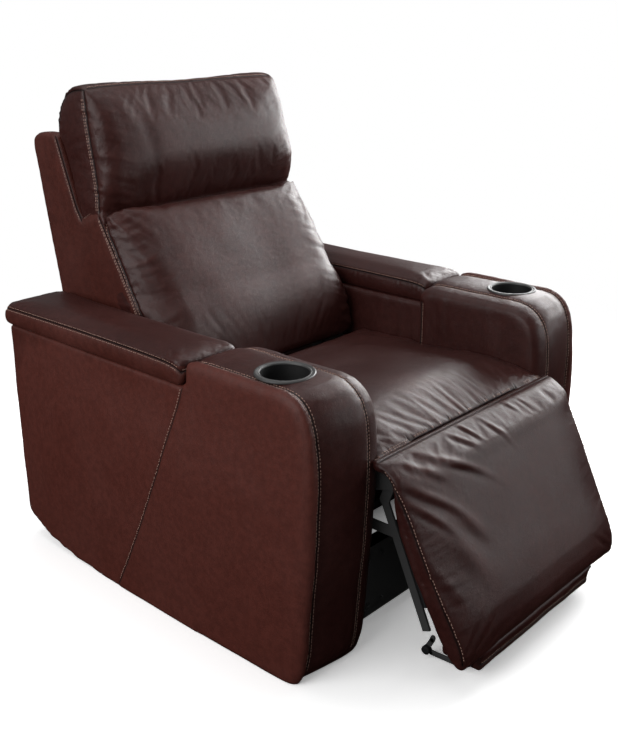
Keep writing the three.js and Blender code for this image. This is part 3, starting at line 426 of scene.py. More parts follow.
class Bench:
    """Modelling steps that act on one object at a time."""

    @staticmethod
    def clear() -> None:
        """Leaves nothing selected."""
        if bpy.context.mode != "OBJECT":
            bpy.ops.object.mode_set(mode="OBJECT")
        bpy.ops.object.select_all(action="DESELECT")

    @staticmethod
    def take(piece: bpy.types.Object) -> None:
        """Selects one piece alone and makes it active."""
        Bench.clear()
        piece.select_set(True)
        bpy.context.view_layer.objects.active = piece

    @staticmethod
    def named(name: str) -> bpy.types.Object:
        """Names the piece that an operator just made, and moves its place and turn into its mesh.

        Args:
            name: the piece's name.

        Returns:
            The piece.
        """
        piece = bpy.context.active_object
        piece.name = name
        piece.data.name = name
        Bench.take(piece)
        bpy.ops.object.transform_apply(location=True, rotation=True, scale=True)
        return piece

    @staticmethod
    def modify(piece: bpy.types.Object, kind: str, **settings: Any) -> None:
        """Adds a modifier and applies it.

        Args:
            piece: the piece in hand.
            kind: the modifier's type.
            **settings: the modifier's options.
        """
        Bench.take(piece)
        modifier = piece.modifiers.new(kind.title(), kind)
        for key, value in settings.items():
            setattr(modifier, key, value)
        bpy.ops.object.modifier_apply(modifier=modifier.name)

    @staticmethod
    def built(
        name: str, verts: Sequence[Vector], edges: Sequence[Sequence[int]], faces: Sequence[Sequence[int]]
    ) -> bpy.types.Object:
        """Makes a piece from its points and what joins them.

        Args:
            name: the piece's name.
            verts: its points.
            edges: pairs of points.
            faces: rings of points.

        Returns:
            The piece.
        """
        mesh = bpy.data.meshes.new(name)
        mesh.from_pydata(verts, edges, faces)
        piece = bpy.data.objects.new(name, mesh)
        bpy.context.scene.collection.objects.link(piece)
        return piece

    @staticmethod
    def edit(piece: bpy.types.Object, kind: str = "FACE") -> None:
        """Enters edit mode with all of the piece's faces or edges selected.

        Args:
            piece: the piece in hand.
            kind: "FACE" or "EDGE".
        """
        Bench.take(piece)
        bpy.ops.object.mode_set(mode="EDIT")
        bpy.ops.mesh.select_mode(type=kind)
        bpy.ops.mesh.select_all(action="SELECT")

    @staticmethod
    def close(piece: bpy.types.Object) -> bpy.types.Object:
        """Turns the faces of the piece in edit mode outwards, and leaves edit mode."""
        bpy.ops.mesh.select_all(action="SELECT")
        bpy.ops.mesh.normals_make_consistent(inside=False)
        bpy.ops.object.mode_set(mode="OBJECT")
        return piece

    @staticmethod
    def smooth(piece: bpy.types.Object, degrees: float = 38.0) -> None:
        """Shades the piece smooth, with creases where it turns sharply."""
        Bench.take(piece)
        bpy.ops.object.shade_smooth_by_angle(angle=math.radians(degrees))

    @staticmethod
    def weld(name: str, pieces: Sequence[bpy.types.Object]) -> bpy.types.Object:
        """Joins several pieces into one and names it.

        Args:
            name: the piece's name.
            pieces: what is joined.

        Returns:
            The piece.
        """
        Bench.clear()
        for piece in pieces:
            piece.select_set(True)
        bpy.context.view_layer.objects.active = pieces[0]
        if len(pieces) > 1:
            bpy.ops.object.join()
        return Bench.named(name)

    @staticmethod
    def block(name: str, low: Vector, high: Vector, bevel: float) -> bpy.types.Object:
        """Models a block between two corners, with softened edges.

        Args:
            name: the piece's name.
            low: one corner.
            high: the corner across from it.
            bevel: how wide its edges are softened.

        Returns:
            The piece.
        """
        Bench.clear()
        bpy.ops.mesh.primitive_cube_add(size=1.0, location=(low + high) / 2, scale=high - low)
        piece = Bench.named(name)
        Bench.modify(piece, "BEVEL", width=bevel, segments=2, limit_method="ANGLE")
        return piece

    @staticmethod
    def soften(piece: bpy.types.Object, bevel: float) -> bpy.types.Object:
        """Softens a turned or cut piece's sharp edges and shades the rest smooth.

        Args:
            piece: the piece in hand.
            bevel: how wide its edges are softened.

        Returns:
            The piece.
        """
        turn = math.radians(50)
        Bench.modify(piece, "BEVEL", width=bevel, segments=2, limit_method="ANGLE", angle_limit=turn)
        Bench.smooth(piece)
        return piece

    @staticmethod
    def rod(
        name: str, start: Vector, end: Vector, radius: float, sides: int, bevel: float = 0.0008
    ) -> bpy.types.Object:
        """Models a round bar between two points, with softened ends.

        Args:
            name: the piece's name.
            start: the middle of one end.
            end: the middle of the other.
            radius: half its thickness.
            sides: how many faces go round.
            bevel: how wide its edges are softened.

        Returns:
            The piece.
        """
        Bench.clear()
        run = end - start
        turn = run.to_track_quat("Z", "Y").to_euler()
        bpy.ops.mesh.primitive_cylinder_add(
            vertices=sides, radius=radius, depth=run.length, location=(start + end) / 2, rotation=turn
        )
        return Bench.soften(Bench.named(name), bevel)

    @staticmethod
    def plate(name: str, outline: Outline, near: float, far: float) -> bpy.types.Object:
        """Models a flat plate between two X, whose outline lies in Y and Z.

        Args:
            name: the piece's name.
            outline: its corners, measured from the arm fronts.
            near: one face's X.
            far: the other face's X.

        Returns:
            The piece.
        """
        low, high = min(near, far), max(near, far)
        piece = Bench.built(name, drawn(low, outline), [], [range(len(outline))])
        Bench.edit(piece)
        bpy.ops.mesh.extrude_region_move(TRANSFORM_OT_translate={"value": (high - low, 0.0, 0.0)})
        return Bench.soften(Bench.close(piece), 0.0006)

    @staticmethod
    def spun(name: str, profile: Outline, centre: Vector, steps: int) -> bpy.types.Object:
        """Spins a profile of radius and height round an upright line.

        Args:
            name: the piece's name.
            profile: radius and height of each point, from the inside out.
            centre: a point on the line.
            steps: how many faces go round.

        Returns:
            The spun piece.
        """
        points = [centre + Vector((r, 0.0, z)) for r, z in profile]
        piece = Bench.built(name, points, [(i, i + 1) for i in range(len(points) - 1)], [])
        Bench.edit(piece, "EDGE")
        bpy.ops.mesh.spin(steps=steps, angle=2 * math.pi, center=centre, axis=(0.0, 0.0, 1.0))
        bpy.ops.mesh.select_all(action="SELECT")
        bpy.ops.mesh.remove_doubles(threshold=0.00002)
        Bench.smooth(Bench.close(piece), 30.0)
        return piece

    @staticmethod
    def dress(piece: bpy.types.Object, finish: Finish) -> bpy.types.Object:
        """Gives the piece its finish, as its only material.

        Args:
            piece: the piece in hand.
            finish: what it is made of.

        Returns:
            The piece.
        """
        piece.data.materials.clear()
        piece.data.materials.append(finish.material)
        return piece

    @staticmethod
    def second(piece: bpy.types.Object, finish: Finish, choose: Callable[[Any], bool]) -> None:
        """Gives the chosen faces of a piece a second finish.

        Args:
            piece: the piece in hand.
            finish: what the chosen faces are made of.
            choose: says whether a face is chosen.
        """
        piece.data.materials.append(finish.material)
        for face in piece.data.polygons:
            if choose(face):
                face.material_index = 1

    @staticmethod
    def mount(piece: bpy.types.Object, finish: Finish, body: Body, *nodes: str) -> None:
        """Finishes a piece, fixes it to a body in place of some nodes, and reports it.

        Args:
            piece: the piece in hand.
            finish: what it is made of.
            body: what carries it.
            *nodes: the frame's nodes that it stands for.
        """
        Bench.dress(piece, finish)
        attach(piece, body.value)
        if nodes:
            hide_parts(*nodes)
        log.info("%s on %s: %d faces", piece.name, body.value, len(piece.data.polygons))


def along_line(points: Sequence[Vector], step: float) -> list[Vector]:
    """Spaces points evenly along a line of straight runs.

    Args:
        points: the line's corners.
        step: the spacing to aim at.

    Returns:
        The evenly spaced points, ends included.
    """
    lengths = [0.0]
    for first, second in zip(points, points[1:]):
        lengths.append(lengths[-1] + (second - first).length)
    count = max(2, round(lengths[-1] / step))
    spaced = []
    for i in range(count + 1):
        run = lengths[-1] * i / count
        k = min(max(1, int(np.searchsorted(lengths, run))), len(points) - 1)
        share = (run - lengths[k - 1]) / max(1e-9, lengths[k] - lengths[k - 1])
        spaced.append(points[k - 1].lerp(points[k], share))
    return spaced


def rounded(points: Sequence[Vector]) -> list[Vector]:
    """Rounds a line's corners by cutting them twice, and keeps its ends.

    Args:
        points: the line's corners.

    Returns:
        The rounded line.
    """
    line = list(points)
    for _ in range(2):
        cut = [line[0]]
        for first, second in zip(line, line[1:]):
            cut += [first.lerp(second, 0.25), first.lerp(second, 0.75)]
        line = [*cut, line[-1]]
    return line


def crumple(points: np.ndarray, scale: Sequence[float], seed: float, octaves: int = 3) -> np.ndarray:
    """Samples smooth noise at many points.

    Args:
        points: the places, in metres.
        scale: how many waves fit in a metre, along each axis.
        seed: shifts the pattern.
        octaves: how many finer layers are added.

    Returns:
        One value a point, mostly between -1 and 1.
    """
    spots = points * np.array(scale) + seed
    return np.array([noise.fractal(Vector(p), 0.9, 2.1, octaves) for p in spots])


def streaks(first: Any, second: Any, third: Any, seed: float) -> np.ndarray:
    """Samples smooth noise along three stretched directions."""
    return crumple(np.stack(np.broadcast_arrays(first, second, third), axis=1), (1, 1, 1), seed, 2)


def spread(places: np.ndarray) -> tuple[np.ndarray, np.ndarray, np.ndarray]:
    """Parts places into X, Y behind the arm fronts, and Z."""
    return places[:, 0], places[:, 1] - FRONT, places[:, 2]


def apart(y: np.ndarray, z: np.ndarray, axis: tuple[float, float]) -> np.ndarray:
    """How far places lie from an axis across the chair."""
    return np.hypot(y - axis[0], z - axis[1])


def bell(distance: np.ndarray, width: float) -> np.ndarray:
    """1 where the distance is 0, falling smoothly to 0 over a few widths."""
    return np.exp(-((distance / width) ** 2))


def ramp(value: np.ndarray, low: float, high: float) -> np.ndarray:
    """0 below low, 1 above high, and a smooth rise between them."""
    share = np.clip((value - low) / (high - low), 0.0, 1.0)
    return share * share * (3 - 2 * share)


def clamp(value: float) -> float:
    """Keeps a value between 0 and 1."""
    return min(1.0, max(0.0, value))


def dome(share: float, power: float) -> float:
    """1 in the middle, falling to 0 at the edges; the power says how late."""
    return math.sqrt(max(0.0, 1 - abs(share) ** power))


def mirrored(
    half_width: float, outline: Callable[[float], Outline], shares: Iterable[float] = SHARES
) -> Stations:
    """Sets outlines across a cushion, alike on both sides of its middle.

    Args:
        half_width: half the cushion's width.
        outline: draws the outline at a share of the half width.
        shares: where the outlines lie.

    Returns:
        The outlines with their X.
    """
    places = [place for share in shares for place in ((share, -share) if share else (share,))]
    return [(place * half_width, outline(place)) for place in places]


@dataclass
class Seam:
    """A sewn line across a leather piece, with its stitches and the puckers beside it."""

    path: list[Vector]
    across: Vector
    channel: int = 0
    rows: tuple[float, ...] = (-0.0042, 0.0042)
    valley: float = 0.0022
    valley_width: float = 0.005
    pucker: float = 0.0
    pucker_pitch: float = 0.016
    stitch: float = 0.0046
    gap: float = 0.0022
    thread: float = 0.00062
    spots: list[Vector] = field(default_factory=list)
    normals: list[Vector] = field(default_factory=list)
    step: float = 0.002

    def lay(self, surface: BVHTree) -> None:
        """Drops the seam's line onto a surface.

        Args:
            surface: the leather that the seam is sewn in.
        """
        self.spots, self.normals = [], []
        for point in along_line(rounded(self.path), self.step):
            spot, normal, _, _ = surface.find_nearest(point)
            self.spots.append(spot)
            self.normals.append(normal)

    def frame_at(self, i: int) -> tuple[Vector, Vector, Vector]:
        """Returns the seam's direction, its sideways direction and its normal at a spot.

        Args:
            i: the spot's number.

        Returns:
            The three directions.
        """
        ahead = self.spots[min(i + 2, len(self.spots) - 1)]
        behind = self.spots[max(i - 2, 0)]
        run = (ahead - behind).normalized()
        normal = self.normals[i]
        sideways = normal.cross(run).normalized()
        if sideways.dot(self.across) < 0:
            sideways = -sideways
        return run, sideways, normal

    def measure(self, points: np.ndarray) -> tuple[np.ndarray, np.ndarray, np.ndarray]:
        """Measures points against the seam.

        Args:
            points: places on the leather.

        Returns:
            For each point its signed distance, how strongly the seam holds it, and its place
            along the seam.
        """
        distance = np.full(len(points), REACH)
        hold = np.zeros(len(points))
        place = np.zeros(len(points))
        tree = kdtree.KDTree(len(self.spots))
        for i, spot in enumerate(self.spots):
            tree.insert(spot, i)
        tree.balance()
        frames = [self.frame_at(i) for i in range(len(self.spots))]
        line = np.array([list(s) for s in self.spots])
        low, high = line.min(axis=0) - REACH, line.max(axis=0) + REACH
        inside = np.nonzero(np.all((points >= low) & (points <= high), axis=1))[0]
        last = len(self.spots) - 1
        for n in inside:
            point = Vector(points[n])
            spot, i, far = tree.find(point)
            if far > REACH:
                continue
            run, sideways, _ = frames[i]
            away = point - spot
            distance[n] = away.dot(sideways)
            beyond = 0.0
            if i == 0:
                beyond = max(0.0, -away.dot(run))
            elif i == last:
                beyond = max(0.0, away.dot(run))
            hold[n] = (1 - min(1.0, far / REACH) ** 2) ** 2 * math.exp(-((beyond / 0.004) ** 2))
            place[n] = i * self.step + away.dot(run)
        return distance, hold, place

    def stitches(self, surface: BVHTree) -> tuple[list[Vector], list[tuple[int, ...]]]:
        """Models the seam's stitches on the finished leather.

        Args:
            surface: the finished leather.

        Returns:
            The vertices and faces of all the stitches.
        """
        ring = [(math.cos(a), math.sin(a)) for a in (math.pi * k / 2 + math.pi / 4 for k in range(4))]
        shape = [(-0.5, 0.35, -0.5), (-0.3, 1.0, 0.45), (0.3, 1.0, 0.45), (0.5, 0.35, -0.5)]
        verts: list[Vector] = []
        faces: list[tuple[int, ...]] = []
        pitch = self.stitch + self.gap
        length = self.step * (len(self.spots) - 1)
        for row in self.rows:
            for k in range(int((length - pitch) / pitch)):
                i = min(round((k + 0.5) * pitch / self.step), len(self.spots) - 1)
                run, sideways, _ = self.frame_at(i)
                spot, normal, _, _ = surface.find_nearest(self.spots[i] + sideways * row)
                wide = normal.cross(run).normalized()
                start = len(verts)
                for where, size, rise in shape:
                    middle = spot + run * (where * self.stitch) + normal * (rise * self.thread)
                    for c, s in ring:
                        verts.append(middle + (wide * (1.2 * c) + normal * s) * (size * self.thread))
                for level in range(len(shape) - 1):
                    for q in range(4):
                        a, b = start + 4 * level + q, start + 4 * level + (q + 1) % 4
                        faces.append((a, b, b + 4, a + 4))
                faces.append(tuple(start + q for q in (3, 2, 1, 0)))
                faces.append(tuple(start + 12 + q for q in range(4)))
        return verts, faces


def loft(name: str, stations: Stations) -> bpy.types.Object:
    """Models a closed solid through outlines in Y and Z, one at each X.

    Args:
        name: the solid's name.
        stations: the outlines with their X.

    Returns:
        The solid.
    """
    rows = sorted(stations, key=lambda station: station[0])
    count = len(rows[0][1])
    verts = [point for x, outline in rows for point in drawn(x, outline)]
    faces: list[Sequence[int]] = []
    for r in range(len(rows) - 1):
        for i in range(count):
            a, b = r * count + i, r * count + (i + 1) % count
            faces.append((a, b, b + count, a + count))
    faces.append(tuple(reversed(range(count))))
    faces.append(range((len(rows) - 1) * count, len(rows) * count))
    piece = Bench.built(name, verts, [], faces)
    Bench.edit(piece)
    return Bench.close(piece)


@dataclass
class Stuffing:
    """How a leather piece is remeshed, relaxed and blown up as cloth, and how full its padding is."""

    voxel: float
    relax: int
    fill: float
    pressure: float = 0.0
    cap: float = 0.0
    frames: int = 0
    slack: float = 0.0


@dataclass
class LeatherPiece:
    """One upholstered piece, from its rough solid to sewn leather."""

    name: str
    finish: Finish
    stuffing: Stuffing
    seams: list[Seam]
    relief: Relief
    keep: Relief | None = None

    def points(self, piece: bpy.types.Object, what: str = "co") -> np.ndarray:
        """Reads the places of a piece's vertices, or their normals."""
        source = piece.data.vertices if what == "co" else piece.data.vertex_normals
        flat = np.zeros(len(source) * 3, np.float32)
        source.foreach_get("co" if what == "co" else "vector", flat)
        return flat.reshape(-1, 3).astype(float)

    def move(self, piece: bpy.types.Object, places: np.ndarray) -> None:
        """Writes the places of a piece's vertices."""
        piece.data.vertices.foreach_set("co", places.astype(np.float32).ravel())
        piece.data.update()

    def surface(self, piece: bpy.types.Object) -> BVHTree:
        """Returns a tree of the piece's faces to look places up in."""
        faces = [tuple(face.vertices) for face in piece.data.polygons]
        return BVHTree.FromPolygons([v.co for v in piece.data.vertices], faces)

    def swell(self, piece: bpy.types.Object) -> None:
        """Blows the remeshed piece up as cloth, held at its seams and where it rests.

        Args:
            piece: the remeshed piece.
        """
        if self.stuffing.pressure <= 0:
            return
        before = self.points(piece)
        holds = np.zeros(len(before))
        for seam in self.seams:
            distance, hold, _ = seam.measure(before)
            holds = np.maximum(holds, np.where(hold > 0, bell(distance, 0.006), 0.0))
        if self.keep is not None:
            holds = np.maximum(holds, self.keep(before))
        group = piece.vertex_groups.new(name="held")
        for n in np.nonzero(holds > 0.05)[0]:
            group.add([int(n)], float(holds[n]), "REPLACE")
        modifier = piece.modifiers.new("Cloth", "CLOTH")
        cloth = modifier.settings
        cloth.quality = 4
        cloth.mass = 0.3
        cloth.use_pressure = True
        cloth.uniform_pressure_force = self.stuffing.pressure
        cloth.effector_weights.gravity = 0.0
        cloth.shrink_min = -self.stuffing.slack
        cloth.bending_stiffness = 0.4
        cloth.tension_stiffness = 18.0
        cloth.compression_stiffness = 18.0
        if holds.max() > 0.05:
            cloth.vertex_group_mass = "held"
        modifier.point_cache.frame_start = 1
        modifier.point_cache.frame_end = self.stuffing.frames
        scene = bpy.context.scene
        for step in range(1, self.stuffing.frames + 1):
            scene.frame_set(step)
        shaped = piece.evaluated_get(bpy.context.evaluated_depsgraph_get())
        flat = np.zeros(len(before) * 3, np.float32)
        shaped.data.vertices.foreach_get("co", flat)
        moved = flat.reshape(-1, 3) - before
        far = np.linalg.norm(moved, axis=1, keepdims=True)
        cap = self.stuffing.cap
        moved *= np.where(far > 1e-9, cap * np.tanh(far / cap) / np.maximum(far, 1e-9), 1.0)
        piece.modifiers.remove(modifier)
        piece.vertex_groups.clear()
        scene.frame_set(1)
        self.move(piece, before + moved)

    def sculpt(self, piece: bpy.types.Object) -> None:
        """Presses the seams in and raises the wrinkles, and keeps what the material needs of them.

        Args:
            piece: the refined piece.
        """
        places, normals = self.points(piece), self.points(piece, "normals")
        surface = self.surface(piece)
        height = self.relief(places)
        crease = np.clip(height / 0.0022, 0.0, 1.0)
        distances = np.full((len(places), 3), REACH)
        holds = np.zeros((len(places), 3))
        for number, seam in enumerate(self.seams):
            seam.lay(surface)
            distance, hold, place = seam.measure(places)
            height -= seam.valley * bell(distance, seam.valley_width) * hold
            if seam.pucker:
                jitter = streaks(place * 40, number, 0.0, 3.7)
                wave = np.sin(2 * math.pi * place / seam.pucker_pitch + 3.0 * jitter)
                side = bell(np.abs(distance) - 0.008, 0.008)
                height += seam.pucker * wave * (0.6 + jitter) * side * hold
            stronger = hold > holds[:, seam.channel]
            distances[stronger, seam.channel] = distance[stronger]
            holds[stronger, seam.channel] = hold[stronger]
        self.move(piece, places + normals * height[:, None])
        for name, values in (("seam_distance", distances), ("seam_hold", holds)):
            attribute = piece.data.attributes.new(name, "FLOAT_VECTOR", "POINT")
            attribute.data.foreach_set("vector", values.astype(np.float32).ravel())
        attribute = piece.data.attributes.new("crease", "FLOAT", "POINT")
        attribute.data.foreach_set("value", crease.astype(np.float32))

    def sew(self, piece: bpy.types.Object) -> bpy.types.Object | None:
        """Models the stitches of all the seams as one piece, or returns nothing if there are none.

        Args:
            piece: the finished leather.

        Returns:
            The stitching.
        """
        surface = self.surface(piece)
        verts: list[Vector] = []
        faces: list[tuple[int, ...]] = []
        for seam in self.seams:
            more, loops = seam.stitches(surface)
            faces += [tuple(len(verts) + i for i in loop) for loop in loops]
            verts += more
        if not verts:
            return None
        stitching = Bench.built(self.name + "_stitching", verts, [], faces)
        Bench.edit(stitching)
        Bench.smooth(Bench.close(stitching), 80.0)
        return Bench.dress(stitching, Finish.THREAD)

    def make(
        self, rough: Sequence[bpy.types.Object], cutters: Sequence[bpy.types.Object] = ()
    ) -> tuple[bpy.types.Object, bpy.types.Object | None]:
        """Makes the leather piece and its stitching.

        Args:
            rough: the rough solids, which are fused.
            cutters: tools for holes through the finished leather.

        Returns:
            The leather and its stitching.
        """
        piece = Bench.weld(self.name, rough)
        Bench.modify(piece, "REMESH", mode="VOXEL", voxel_size=self.stuffing.voxel)
        Bench.modify(piece, "SMOOTH", factor=0.5, iterations=self.stuffing.relax)
        for seam in self.seams:
            seam.lay(self.surface(piece))
        self.swell(piece)
        Bench.modify(piece, "SUBSURF", levels=1, render_levels=1)
        for cutter in cutters:
            Bench.modify(piece, "BOOLEAN", operation="DIFFERENCE", solver="EXACT", object=cutter)
            bpy.data.objects.remove(cutter)
        self.sculpt(piece)
        Bench.take(piece)
        bpy.ops.object.shade_smooth()
        stitching = self.sew(piece)
        Bench.dress(piece, self.finish)
        log.info("%s: %d faces", piece.name, len(piece.data.polygons))
        return piece, stitching

    def carry(self, pieces: Iterable[bpy.types.Object | None], body: Body, *nodes: str) -> None:
        """Fixes the leather and its stitching to a body, in place of some nodes.

        Args:
            pieces: the leather, then its stitching.
            body: what carries them.
            *nodes: the frame's nodes that the leather stands for.
        """
        for number, piece in enumerate(p for p in pieces if p is not None):
            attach(piece, body.value)
            if number == 0 and nodes:
                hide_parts(*nodes)


def inset(outline: Outline, amount: Callable[[int], float]) -> Outline:
    """Moves each point of a closed outline inwards.

    Args:
        outline: the points, in order.
        amount: how far each point moves, by its number.

    Returns:
        The moved outline.
    """
    area = sum(a[0] * b[1] - b[0] * a[1] for a, b in zip(outline, outline[1:] + outline[:1]))
    sign = 1 if area > 0 else -1
    moved = []
    for i, (y, z) in enumerate(outline):
        before, after = outline[i - 1], outline[(i + 1) % len(outline)]
        dy, dz = after[0] - before[0], after[1] - before[1]
        length = math.hypot(dy, dz) or 1.0
        moved.append((y - dz / length * sign * amount(i), z + dy / length * sign * amount(i)))
    return moved


def curve(points: Outline, count: int) -> Outline:
    """Draws an even, smooth line through points.

    Args:
        points: the places that it passes.
        count: how many points it gets.

    Returns:
        The smooth line.
    """
    knots = [0.0]
    for a, b in zip(points, points[1:]):
        knots.append(knots[-1] + math.hypot(b[0] - a[0], b[1] - a[1]))
    spaced = np.linspace(0.0, knots[-1], count)
    result = []
    for s in spaced:
        k = min(max(1, int(np.searchsorted(knots, s))), len(points) - 1)
        t = (s - knots[k - 1]) / (knots[k] - knots[k - 1])
        ends = [points[max(k - 2, 0)], points[k - 1], points[k], points[min(k + 1, len(points) - 1)]]
        weights = (
            0.5 * (-t + 2 * t * t - t**3), 0.5 * (2 - 5 * t * t + 3 * t**3),
            0.5 * (t + 4 * t * t - 3 * t**3), 0.5 * (-t * t + t**3),
        )
        result.append(tuple(sum(w * p[axis] for w, p in zip(weights, ends)) for axis in (0, 1)))
    return result


def arc(centre: tuple[float, float], radius: float, start: float, end: float, steps: int) -> Outline:
    """Draws part of a circle, from degree to degree: 0 is forwards and 90 is up."""
    turns = [math.radians(start + (end - start) * i / steps) for i in range(steps + 1)]
    return [(centre[0] - radius * math.cos(a), centre[1] + radius * math.sin(a)) for a in turns]


# Sub-assemblies


@dataclass
class Arm:
    """One padded arm: its leather, storage lid and cup holder."""

    side: Side
    inner: float = 0.2785
    outer: float = 0.4655
    inner_seam: float = 0.321
    outer_seam: float = 0.4425
    height: float = 0.589
    lid_start: float = 0.277
    rear_inner: float = 0.3125
    rear: float = 0.894
    panel_top: float = 0.5375
    forward: float = 0.017
    crown: float = 0.007
    bulge: float = 0.011
    cup_x: float = 0.3881
    cup_y: float = 0.0886
    cup_hole: float = 0.0505
    ground: float = 0.0006
    lid_inner: float = 0.3185
    lid_outer: float = 0.4725
    front: Outline = field(
        default_factory=lambda: [
            (0.0, -0.004), (-0.008, 0.02), (-0.017, 0.061), (-0.027, 0.185), (-0.037, 0.302),
            (-0.041, 0.411), (-0.039, 0.48), (-0.032, 0.53), (-0.018, 0.564), (0.002, 0.583), (0.034, 0.589),
        ]
    )
    bottom: Outline = field(
        default_factory=lambda: [(0.3, -0.004), (0.526, -0.004), (0.668, 0.001), (0.8, 0.02), (0.884, 0.054)]
    )
    diagonal: Outline = field(
        default_factory=lambda: [
            (0.286, 0.532), (0.297, 0.496), (0.316, 0.449), (0.358, 0.337), (0.395, 0.256), (0.43, 0.184),
            (0.478, 0.093), (0.525, 0.008),
        ]
    )

    def x(self, distance: float) -> float:
        """Turns a distance from the chair's middle into an X on this arm's side."""
        return self.side.value * distance

    def share(self, distance: float) -> float:
        """How far across the front panel a distance lies, from 0 at the outer seam."""
        return clamp((self.outer_seam - distance) / (self.outer_seam - self.inner_seam))

    def front_line(self, distance: float) -> Outline:
        """The arm's front and top line at a distance from the middle, before its edges are rounded.

        Args:
            distance: how far from the chair's middle.

        Returns:
            The line.
        """
        share = self.share(distance)
        pushed = []
        for y, z in curve(self.front, 26):
            rise = clamp((self.height - z) / 0.045)
            pushed.append((y - self.forward * share * (0.25 + 0.75 * rise), z))
        return pushed

    def rounding(self, distance: float) -> float:
        """How far the arm's front and top draw in at a distance from the middle.

        Args:
            distance: how far from the chair's middle.

        Returns:
            The distance inwards.
        """
        if distance > self.outer_seam:
            share = min(1.0, (distance - self.outer_seam) / (self.outer - self.outer_seam))
            return 0.011 * (1 - dome(share, 2.6)) - 0.007 * math.sin(math.pi * share) ** 0.8
        if distance < self.inner_seam:
            share = (self.inner_seam - distance) / (self.inner_seam - self.inner)
            return 0.004 * share + 0.019 * (1 - dome(share, 4.5))
        return -self.crown * (1 - abs(2 * self.share(distance) - 1) ** 3.5)

    def front_solid(self) -> bpy.types.Object:
        """Models the arm's front section, in front of the lid."""
        shares = (0.0, 0.04, 0.12, 0.25, 0.5, 0.75, 1.0)
        inner_steps = [self.inner + (self.inner_seam - self.inner) * s**1.6 for s in shares]
        middle = np.linspace(self.inner_seam, self.outer_seam, 9)[1:-1]
        outer_steps = [self.outer - (self.outer - self.outer_seam) * s**1.6 for s in shares]
        stations = []
        for distance in [*inner_steps, *middle, *outer_steps]:
            line = self.front_line(distance)
            draw = self.rounding(distance)
            outline = [
                *line, (self.lid_start - 0.05, self.height), (self.lid_start - 0.02, self.height - 0.002),
                (self.lid_start, self.height - 0.009), (self.lid_start, -0.004),
            ]
            count = len(line) + 2
            moved = inset(outline, lambda i: draw if 0 < i < count else 0.0)
            moved[count] = (self.lid_start, self.height - 0.009 - draw)
            moved[0] = (line[0][0] + max(0.0, draw), -0.004)
            stations.append((self.x(distance), moved))
        return loft("arm_front", stations)

    def rear_solid(self) -> bpy.types.Object:
        """Models the arm's rear section, under the lid."""
        outline = [
            (0.256, -0.004), *self.bottom, (self.rear, 0.07), (self.rear, self.panel_top - 0.006),
            (self.rear - 0.004, self.panel_top), (0.256, self.panel_top),
        ]
        stations = []
        for distance, draw in (
            (self.rear_inner, 0.008), (self.rear_inner + 0.003, 0.002), (self.rear_inner + 0.01, 0.0),
            (self.outer - 0.012, 0.0), (self.outer - 0.001, 0.0), (self.outer + 0.001, 0.002),
        ):
            moved = inset(outline, lambda i: draw if 0 < i < len(outline) - 1 else 0.0)
            stations.append((self.x(distance), moved))
        return loft("arm_rear", stations)

    def seams(self) -> list[Seam]:
        """Draws the arm's sewn lines."""
        seams = []
        for distance, sign in ((self.outer_seam, 1), (self.inner_seam, -1)):
            line = [*self.front_line(distance)[1:], (0.16, self.height), (0.27, self.height)]
            outward = Vector((sign * self.side.value, 0.0, 0.0))
            seams.append(Seam(
                drawn(self.x(distance), line), outward, 0,
                rows=(-0.004, 0.003), valley=0.0016, pucker=0.00035, pucker_pitch=0.019,
            ))
        seams.append(Seam(
            drawn(self.x(self.outer), self.diagonal), BEHIND, 1,
            rows=(0.0048,), valley=0.0014, valley_width=0.006, pucker=0.0003, pucker_pitch=0.021,
        ))
        post = drawn(self.x(self.inner), [(0.268, 0.55), (0.268, 0.47), (0.268, 0.36)])
        seams.append(Seam(post, BEHIND, 1, rows=(-0.004,), valley=0.0012))
        return seams

    def relief(self, places: np.ndarray) -> np.ndarray:
        """Raises the arm's slight hollows and the drag lines near its seams."""
        x, y, z = spread(places)
        across = np.abs(x)
        soft = 0.0012 * crumple(places, (7, 7, 7), 2.1, 2)
        folds = 0.0007 * crumple(places, (18, 30, 12), 7.9, 3) * ramp(z, 0.02, 0.2)
        side = ramp(across, 0.446, 0.461)
        step = 0.0016 * side * ramp(-self.beside(y, z), -0.003, 0.003)
        low = 0.0018 * side * streaks(y * 9, z * 5, across, 4.4)
        along = np.clip(y / self.rear, 0.0, 1.0)
        waist = np.sin(math.pi * (0.13 + 0.87 * along**0.8)) ** 0.6
        belly = (self.bulge + 0.007 * bell(z - 0.3, 0.2)) * side * waist * (1 - 0.8 * ramp(z, 0.34, 0.55))
        return soft + folds + step + belly + low * ramp(z, 0.03, 0.12)

    def beside(self, y: np.ndarray, z: np.ndarray) -> np.ndarray:
        """How far behind the diagonal seam a place on the arm's side lies."""
        line = sorted((b, a) for a, b in self.diagonal)
        return y - np.interp(z, [p[0] for p in line], [p[1] for p in line])

    def leather(self) -> None:
        """Makes the arm's leather."""
        name = self.side.word
        Bench.clear()
        spot = at(self.x(self.cup_x), self.cup_y, self.height + 0.018)
        bpy.ops.mesh.primitive_cylinder_add(vertices=96, radius=self.cup_hole, depth=0.2, location=spot)
        well = Bench.named("well")
        work = LeatherPiece(
            name + "_arm_leather", Finish.SIDE_LEATHER, Stuffing(voxel=0.0074, relax=2, fill=0.8),
            self.seams(), self.relief,
        )
        made = work.make([self.front_solid(), self.rear_solid()], [well])
        for vertex in made[0].data.vertices:
            vertex.co.z = max(vertex.co.z, self.ground)
        # The front and top panel, between the seams, are of the darker leather
        Bench.second(
            made[0], Finish.TOP_LEATHER,
            lambda face: abs(face.center.x) < self.outer_seam and face.normal.x * self.side.value < 0.8,
        )
        panels = [f"{name}_arm_{place}_panel" for place in ("outer", "inner", "top", "front", "rear")]
        work.carry(made, Body.CHASSIS, *panels)

